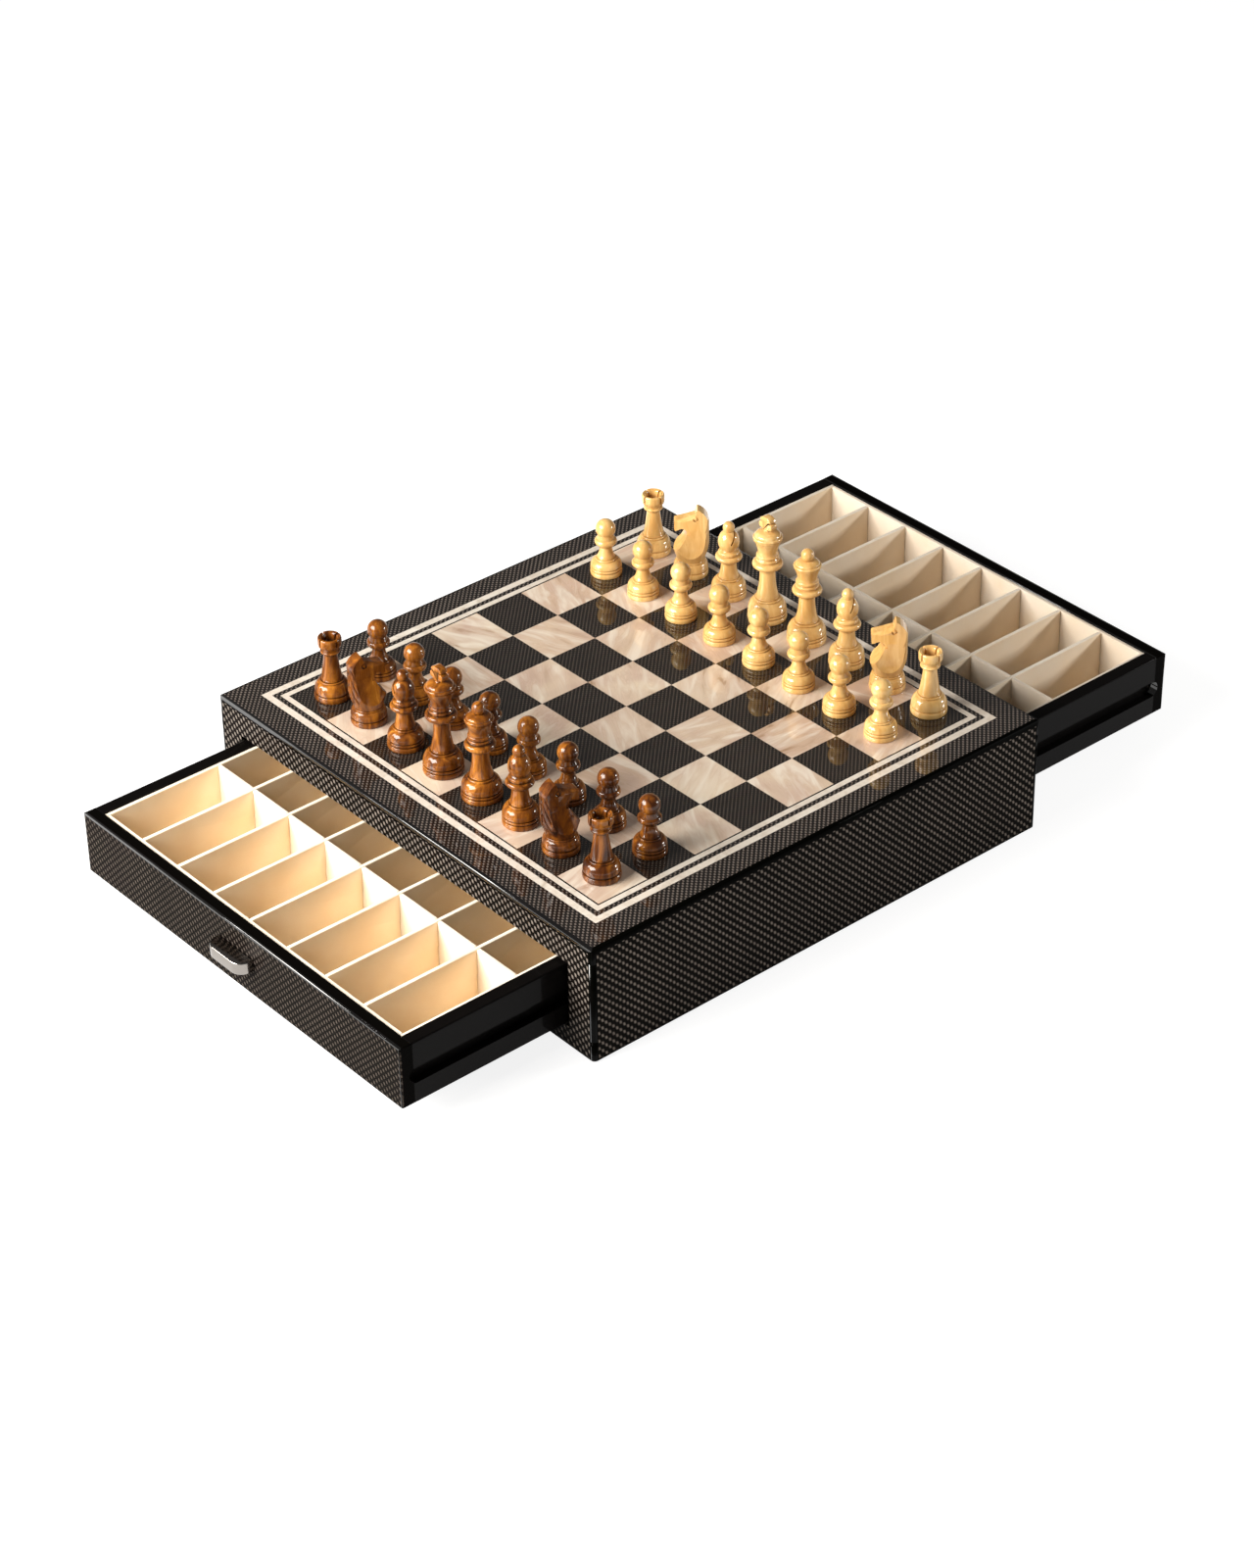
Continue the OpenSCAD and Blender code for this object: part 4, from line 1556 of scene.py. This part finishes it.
# Side outline of the knight's head, nose to the right, in millimetres: chest, throat, jaw, muzzle,
# forehead, ear and back
HEAD_SIDE = (
    (-14.5, 11.2), (14.5, 11.2), (14.5, 18.2), (12.7, 20.2), (11.4, 22.4), (9.0, 24.8), (7.0, 27.0),
    (4.6, 31.2), (2.6, 35.6), (3.0, 37.6), (4.4, 39.2), (6.4, 39.6), (8.4, 38.8), (10.4, 37.4), (11.7, 37.3),
    (12.0, 39.5), (12.0, 43.5), (11.3, 45.4), (8.4, 46.2), (4.0, 47.2), (1.0, 48.6), (-2.0, 49.6),
    (-3.5, 49.9), (-4.6, 54.0), (-7.3, 52.7), (-10.1, 50.1), (-12.3, 46.6), (-13.7, 42.6), (-14.5, 38.0),
)

# Turned blank of the knight's head, as heights and radii in millimetres
BLANK = ((11.9, 9.0), (13.2, 10.3), (15.4, 10.8), (18.6, 11.9), (21.8, 12.8), (25.5, 13.3), (56.0, 13.3))

# What is carved off one side of the knight's head, in millimetres: beside the muzzle, as seen from above,
# and along the crown, as seen from the front
MUZZLE_CUT = ((7.0, 1.0), (3.7, 14.5), (12.0, 14.5), (12.0, 1.0))
CROWN_CUT = ((1.4, 46.4), (8.0, 46.4), (8.0, 40.6))

# Front outline of the king's cross, in shares of its half width and of its height
CROSS = (
    (-0.42, 0.0), (0.42, 0.0), (0.34, 0.14), (0.9, 0.2), (1.0, 0.36), (0.94, 0.56), (0.4, 0.62),
    (0.86, 0.72), (0.7, 0.9), (0.36, 1.0), (-0.36, 1.0), (-0.7, 0.9), (-0.86, 0.72), (-0.4, 0.62),
    (-0.94, 0.56), (-1.0, 0.36), (-0.9, 0.2), (-0.34, 0.14),
)


@dataclass(frozen=True)
class ManSize:
    """Base radius and height of a man, in metres."""

    radius: float
    height: float


SIZES: dict[Rank, ManSize] = {
    Rank.KING: ManSize(14.2 * MM, 82.0 * MM), Rank.QUEEN: ManSize(14.2 * MM, 75.0 * MM),
    Rank.BISHOP: ManSize(12.9 * MM, 60.0 * MM), Rank.KNIGHT: ManSize(12.9 * MM, 54.0 * MM),
    Rank.ROOK: ManSize(12.9 * MM, 48.0 * MM), Rank.PAWN: ManSize(11.7 * MM, 44.0 * MM),
}


@dataclass
class Knight:
    """The knight's head: a turned blank, planed on its two sides and sawn to a horse's outline."""

    reach: float = 14.5 * MM
    top: float = 54.0 * MM
    half_top: float = 4.6 * MM
    flare: float = 0.155
    foot_from: float = 28.0 * MM
    foot_curve: float = 12.0
    sawn_round: float = 0.9 * MM
    # Chevron grooves of the mane, the share of the pitch that one takes, and the line down their middle
    groove_pitch: float = 8.4 * MM
    groove_slope: float = 1.7
    groove_depth: float = 1.3 * MM
    groove_share: float = 0.36
    groove_power: float = 1.2
    parting: float = 0.9 * MM
    # Where the grooves run out: below, above and round the side
    mane_low: float = 17.0 * MM
    mane_high: float = 46.0 * MM
    mane_fade: float = 3.0 * MM
    mane_side: float = 9.6 * MM
    mane_side_fade: float = 1.5 * MM
    # Place of the eye along and up the side, and its ring: middle radius, half width and depth
    eye: tuple[float, float] = (-3.6 * MM, 47.0 * MM)
    ring: tuple[float, float, float] = (1.5 * MM, 0.6 * MM, 0.8 * MM)
    # Heights between which the muzzle is narrowed, and the run and rise of the cut along the crown
    muzzle: tuple[float, float] = (35.0 * MM, 60.0 * MM)
    crown: tuple[float, float] = (14.5 * MM, -3.2 * MM)
    crown_rise: float = 4.6 * MM

    def half(self, height: Union[float, np.ndarray]) -> Union[float, np.ndarray]:
        """Gives half the planed thickness at a height: a plain wedge, with a parabola added low down."""
        low = np.maximum(self.foot_from - height, 0.0)
        return self.half_top + self.flare * (self.top - height) + self.foot_curve * low ** 2

    def blank(self) -> Shell:
        """Turns the blank, with chevron grooves cut in the back of it.

        A point at angle a and height z has the radius R(z) less the depth of a groove where
        (z + slope |b| R) / pitch nears a whole number, with b the angle from the back.

        Returns:
            The blank.
        """
        heights = np.concatenate([np.linspace(11.9, 20.0, 20), np.linspace(20.4, 56.0, 110)]) * MM
        outline = np.array(BLANK) * MM
        radius = np.interp(heights, outline[:, 0], outline[:, 1])
        angles = np.linspace(0.0, 2.0 * math.pi, 160, endpoint=False)
        from_back = (angles + math.pi / 2 + math.pi) % (2.0 * math.pi) - math.pi
        across = np.abs(from_back) * radius.max()
        phase = (heights[:, None] + self.groove_slope * across[None, :]) / self.groove_pitch
        near = 1.0 - np.abs(phase - np.round(phase)) * 2.0
        cut = np.clip((near - 1.0) / self.groove_share + 1.0, 0.0, 1.0) ** self.groove_power
        middle = np.clip(1.0 - across / self.parting, 0.0, 1.0)[None, :]
        below = np.clip((heights - self.mane_low) / self.mane_fade, 0.0, 1.0)
        above = np.clip((self.mane_high - heights) / self.mane_fade, 0.0, 1.0)
        beside = np.clip((self.mane_side - across) / self.mane_side_fade, 0.0, 1.0)
        depth = self.groove_depth * np.maximum(cut, middle) * beside[None, :] * (below * above)[:, None]
        spread = radius[:, None] - depth
        rows = np.stack([spread * np.cos(angles), spread * np.sin(angles),
                         np.repeat(heights[:, None], len(angles), 1)], -1)
        poles = np.zeros((2, 1, len(angles), 3))
        poles[0, ..., 2] = heights[0]
        poles[1, ..., 2] = heights[-1]
        return Shell.loft(np.concatenate([poles[0], rows, poles[1]]))

    def planed(self) -> Shell:
        """Makes what is left between the two planed sides, a front outline carried from nose to back.

        Returns:
            The plate.
        """
        heights = np.linspace(10.0, 57.0, 48) * MM
        right = np.stack([self.half(heights), heights], -1)
        outline = np.concatenate([right, right[::-1] * (-1.0, 1.0)])
        return slab(outline, -self.reach, self.reach, 0.0, (0, 2, 1), 1)

    def sawn(self) -> Shell:
        """Makes the side outline, carried from one side to the other."""
        outline = rounded(np.array(HEAD_SIDE) * MM, self.sawn_round, 5)
        return slab(outline, -self.reach, self.reach, 0.0, (1, 2, 0), 1)

    def cuts(self) -> list[Shell]:
        """Makes what is carved away: the sides of the muzzle and the upper edges of the head.

        Returns:
            The cutters.
        """
        shells = []
        for side in (-1.0, 1.0):
            rows = np.zeros((2, len(MUZZLE_CUT), 3))
            rows[:, :, :2] = np.array(MUZZLE_CUT) * (side * MM, MM)
            rows[0, :, 2], rows[1, :, 2] = self.muzzle
            shells.append(Shell.loft(rows).outward())
            rows = np.zeros((2, len(CROWN_CUT), 3))
            rows[:, :, ::2] = np.array(CROWN_CUT) * (side * MM, MM)
            rows[0, :, 1], rows[1, :, 1] = self.crown
            rows[1, :, 2] += self.crown_rise
            shells.append(Shell.loft(rows).outward())
        return shells

    def rings(self) -> Shell:
        """Makes the two ring-shaped cutters of the drilled eyes.

        With the angles a along the ring and b round its section, a point lies at
        (half + depth sin b, R cos a, R sin a) from the eye, where R = ring + width cos b.

        Returns:
            Both cutters as one surface.
        """
        middle, width, depth = self.ring
        along = np.linspace(0.0, 2 * math.pi, 32, endpoint=False)
        around = np.linspace(0.0, 2 * math.pi, 10, endpoint=False)
        a, b = np.meshgrid(along, around, indexing="ij")
        radius = middle + width * np.cos(b)
        ids = np.arange(a.size).reshape(a.shape)
        ahead = np.roll(ids, -1, 0)
        quads = np.stack([ids, ahead, np.roll(ahead, -1, 1), np.roll(ids, -1, 1)], -1).reshape(-1, 4).tolist()
        shells = []
        for side in (-1.0, 1.0):
            points = np.stack([side * (self.half(self.eye[1]) + depth * np.sin(b)),
                               self.eye[0] + radius * np.cos(a), self.eye[1] + radius * np.sin(a)], -1)
            shells.append(Shell(points.reshape(-1, 3), quads).outward())
        return Shell.joined(shells)

    def head(self) -> bpy.types.Object:
        """Carves the head.

        Returns:
            The head, in its place on the stand.
        """
        head = self.blank().piece("blank")
        for shape in (self.sawn(), self.planed()):
            head = combine(head, shape.piece("shape"), "INTERSECT")
        for cut in self.cuts():
            head = combine(head, cut.piece("cut"), "DIFFERENCE")
        return combine(head, self.rings().piece("rings"), "DIFFERENCE")


# How far a kind of man stands turned away from the other side, in degrees
TURNS: dict[tuple[Side, Rank], float] = {
    (Side.BROWN, Rank.KNIGHT): -13.0, (Side.LIGHT, Rank.KNIGHT): -40.0, (Side.LIGHT, Rank.BISHOP): 65.0,
}


@dataclass
class ChessSet:
    """Both sides' men: one pattern for each rank, copied to its squares.

    Plain numbers are shares: heights on a man of his height, and other sizes of his base radius. Angles
    are in degrees.
    """

    nodes: dict[str, bpy.types.Object]
    cross_foot: float = 0.865
    cross_reach: float = 0.46
    cross_half: float = 0.2
    cross_round: float = 0.7 * MM
    cross_ease: float = 0.5 * MM
    slot_half: float = 0.055
    slot_low: float = 0.89
    slot_high: float = 1.1
    slit_reach: float = 1.4
    slit_width: float = 0.09
    slit_height: float = 0.735
    slit_tilt: float = 62.0
    crease: float = 38.0
    knight_crease: float = 22.0

    def cross(self, size: ManSize) -> Shell:
        """Makes the king's cross.

        Args:
            size: The king's size.

        Returns:
            The cross.
        """
        foot = self.cross_foot * size.height
        outline = np.array(CROSS) * (self.cross_reach * size.radius, size.height - foot) + (0.0, foot)
        half = self.cross_half * size.radius
        return slab(rounded(outline, self.cross_round), -half, half, self.cross_ease, (0, 2, 1))

    def slots(self, size: ManSize) -> list[Shell]:
        """Makes the cutters of the two crossed slots in the rook's battlement.

        Args:
            size: The rook's size.

        Returns:
            The two cutters.
        """
        half = self.slot_half * size.radius
        outline = rectangle((-size.radius, self.slot_low * size.height),
                            (size.radius, self.slot_high * size.height))
        return [slab(outline, -half, half, 0.0, axes, 1) for axes in ((0, 2, 1), (1, 2, 0))]

    def slit(self, size: ManSize) -> Shell:
        """Makes the cutter of the sloping slit in the bishop's mitre.

        Args:
            size: The bishop's size.

        Returns:
            The cutter.
        """
        outline = rectangle((-self.slit_reach * size.radius, 0.0), (0.0, self.slit_width * size.radius))
        c, s = math.cos(math.radians(self.slit_tilt)), math.sin(math.radians(self.slit_tilt))
        turned = outline @ np.array(((c, -s), (s, c))) + (0.0, self.slit_height * size.height)
        return slab(turned, -size.radius, size.radius, 0.0, (0, 2, 1), 1)

    def pattern(self, rank: Rank) -> bpy.types.Object:
        """Makes one man at the origin, looking along +Y.

        Args:
            rank: The kind of man.

        Returns:
            The pattern.
        """
        size = SIZES[rank]
        man = lathe(PROFILES[rank] * (size.radius, size.height)).piece(rank.value)
        if rank is Rank.KING:
            man = combine(man, self.cross(size).piece("cross"), "UNION")
        elif rank is Rank.KNIGHT:
            man = combine(man, Knight().head(), "UNION")
        elif rank is Rank.ROOK:
            for slot in self.slots(size):
                man = combine(man, slot.piece("slot"), "DIFFERENCE")
        elif rank is Rank.BISHOP:
            man = combine(man, self.slit(size).piece("slit"), "DIFFERENCE")
        soften(man.data, self.knight_crease if rank is Rank.KNIGHT else self.crease)
        return man

    def place(self, pattern: bpy.types.Object, node: str, turn: float, finish: bpy.types.Material,
              slot: str) -> None:
        """Puts a copy of a pattern where its node is.

        Args:
            pattern: The man at the origin.
            node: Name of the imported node.
            turn: Angle about Z in degrees.
            finish: The wood.
            slot: The record's material slot.
        """
        name = f"{node}_turned"
        mesh = pattern.data.copy()
        mesh.name = name
        mesh.transform(Matrix.Translation(self.seat(node)) @ Matrix.Rotation(math.radians(turn), 4, "Z"))
        show(linked(name, mesh), finish, f"{node}_man", slot, node)

    def seat(self, node: str) -> Vector:
        """Finds where a man stands: his rook's or his own row, and the nearest pawn's file.

        Args:
            node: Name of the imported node.

        Returns:
            The middle of his foot.
        """
        low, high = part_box(node)
        middle = (low + high) / 2
        side = node.split("_")[0]
        pawns = [sum(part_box(name), Vector()) / 2 for name in self.nodes if name.startswith(f"{side}_pawn")]
        x = min((pawn.x for pawn in pawns), key=lambda place: abs(place - middle.x))
        row = pawns[0] if "pawn" in node else sum(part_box(f"{side}_rook_a"), Vector()) / 2
        return Vector((x, row.y, low.z))

    def names(self, side: Side, rank: Rank) -> list[str]:
        """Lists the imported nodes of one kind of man."""
        return sorted(name for name in self.nodes if name.startswith(f"{side.value}_{rank.value}"))

    def build(self) -> None:
        """Makes all 32 men."""
        finishes = {Side.BROWN: BROWN_WOOD.material(), Side.LIGHT: LIGHT_WOOD.material()}
        for rank in Rank:
            pattern = self.pattern(rank)
            for side, finish in finishes.items():
                turn = (180.0 if side is Side.LIGHT else 0.0) + TURNS.get((side, rank), 0.0)
                for node in self.names(side, rank):
                    self.place(pattern, node, turn, finish, f"{side.value}_wood")
            bpy.data.objects.remove(pattern)


# -------------------------------------------------------------------------------------------------- studio


@dataclass(frozen=True)
class Softbox:
    """A soft rectangular lamp that looks at a point."""

    name: str
    place: tuple[float, float, float]
    aim: tuple[float, float, float]
    width: float
    height: float
    power: float
    colour: tuple[float, float, float] = (1.0, 0.98, 0.95)
    roll: float = 0.0

    def build(self) -> None:
        """Makes the lamp."""
        data = bpy.data.lights.new(self.name, "AREA")
        data.shape = "RECTANGLE"
        data.size = self.width
        data.size_y = self.height
        data.energy = self.power
        data.color = self.colour
        lamp = linked(self.name, data)
        lamp.location = self.place
        way = Vector(self.aim) - Vector(self.place)
        aimed = way.to_track_quat("-Z", "Y").to_matrix() @ Matrix.Rotation(math.radians(self.roll), 3, "Z")
        lamp.rotation_euler = aimed.to_euler()


# A key box at the front left, a low one behind, and a strip for the front top edge
LAMPS = (
    Softbox("key", place=(-0.37, -1.72, 1.02), aim=(0.0, -0.05, 0.09), width=1.15, height=1.15, power=92.0,
            colour=(1.0, 0.965, 0.91), roll=45.0),
    Softbox("rear", place=(0.87, 1.18, 0.43), aim=(0.0, 0.15, 0.08), width=0.3, height=0.2, power=9.0),
    Softbox("edge", place=(-0.94, -1.2, 0.85), aim=(0.0, -0.2, 0.09), width=0.22, height=0.9, power=12.0),
)


@dataclass
class Studio:
    """Floor, lamps, world and camera."""

    lens: float = 89.68
    azimuth: float = 49.92
    elevation: float = 34.05
    roll: float = -0.92
    target: tuple[float, float, float] = (0.0, 0.0, 0.09)
    offset: tuple[float, float, float] = (-0.00041, -0.0533, 2.67935)
    sensor: float = 36.0
    far_clip: float = 500.0
    floor_size: float = 120.0
    floor_colours: tuple[Colour, Colour] = ((226, 226, 226), (230, 230, 230))
    # What the camera and the mirrors see of the floor: an even glow, and a share of the light on it
    floor_glow: float = 0.86
    floor_lit: float = 0.32
    surround: tuple[float, float, float] = (1.0, 0.985, 0.96)
    surround_power: float = 0.12

    def camera(self) -> None:
        """Aims the camera: its axes from azimuth, elevation and roll, its place from the target in them."""
        a, e, r = (math.radians(angle) for angle in (self.azimuth, self.elevation, self.roll))
        back = Vector((math.sin(a) * math.cos(e), -math.cos(a) * math.cos(e), math.sin(e)))
        right = Vector((math.cos(a), math.sin(a), 0.0))
        down = (-back).cross(right)
        across = right * math.cos(r) - down * math.sin(r)
        below = right * math.sin(r) + down * math.cos(r)
        x, y, z = self.offset
        place = Vector(self.target) - (across * x + below * y - back * z)
        data = bpy.data.cameras.new("camera")
        data.lens = self.lens
        data.sensor_width = self.sensor
        data.sensor_fit = "AUTO"
        data.clip_end = self.far_clip
        thing = linked("camera", data)
        axes = Matrix((across, -below, back)).transposed().to_4x4()
        thing.matrix_world = Matrix.Translation(place) @ axes
        bpy.context.scene.camera = thing

    def floor(self) -> None:
        """Lays the pale floor, which shows white to the camera and keeps the object's shadow."""
        half = self.floor_size / 2
        mesh = bpy.data.meshes.new("floor")
        corners = rectangle((-half, -half), (half, half))
        mesh.from_pydata([(x, y, 0.0) for x, y in corners.tolist()], [], [(0, 1, 2, 3)])
        graph = Graph("floor")
        mottle = graph.noise(graph.place(), 3.0, detail=2.0)
        plain = graph.shade("ShaderNodeBsdfDiffuse", Color=graph.blend(mottle, *self.floor_colours))
        faint = graph.shade("ShaderNodeBsdfDiffuse", Color=(*[self.floor_lit] * 3, 1.0))
        lit = graph.shade("ShaderNodeAddShader", faint,
                          graph.shade("ShaderNodeEmission", Strength=self.floor_glow))
        path = graph.node("ShaderNodeLightPath")
        rays = [Wire(graph, path.outputs[f"Is {kind} Ray"]) for kind in ("Camera", "Glossy", "Transmission")]
        seen = (rays[0] + rays[1] + rays[2]).least(1.0)
        graph.put(graph.surface, graph.shade("ShaderNodeMixShader", seen, plain, lit))
        graph.tree.nodes.remove(graph.shader)
        mesh.materials.append(graph.material)
        linked("floor", mesh)

    def world(self) -> None:
        """Sets a dim even surround."""
        world = bpy.data.worlds.new("surround")
        bpy.context.scene.world = world
        world.use_nodes = True
        inputs = world.node_tree.nodes["Background"].inputs
        inputs["Color"].default_value = (*self.surround, 1.0)
        inputs["Strength"].default_value = self.surround_power

    def build(self) -> None:
        """Sets up the whole studio."""
        bpy.context.scene.view_settings.view_transform = "Standard"
        self.camera()
        self.floor()
        self.world()
        for lamp in LAMPS:
            lamp.build()


def main() -> None:
    """Builds every piece in order."""
    logging.basicConfig(level=logging.INFO, format="%(message)s")
    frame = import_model()
    nodes = frame["nodes"]
    Studio().build()
    case = Case(nodes)
    board = Board(nodes)
    border = board.border().material()
    edges = EDGE_LACQUER.material()
    case.build(edges, border)
    case.dress()
    board.dress(border)
    chrome = Metal().material()
    lacquer = Lacquer().material()
    steel = STEEL.material()
    for end, lining in ((End.FRONT, Suede()), (End.BACK, SHADED_LINING)):
        drawer = Drawer(nodes, end)
        drawer.build(lining.material(), chrome)
        drawer.dress(lacquer, edges, steel)
    ChessSet(nodes).build()


if __name__ == "__main__":
    main()
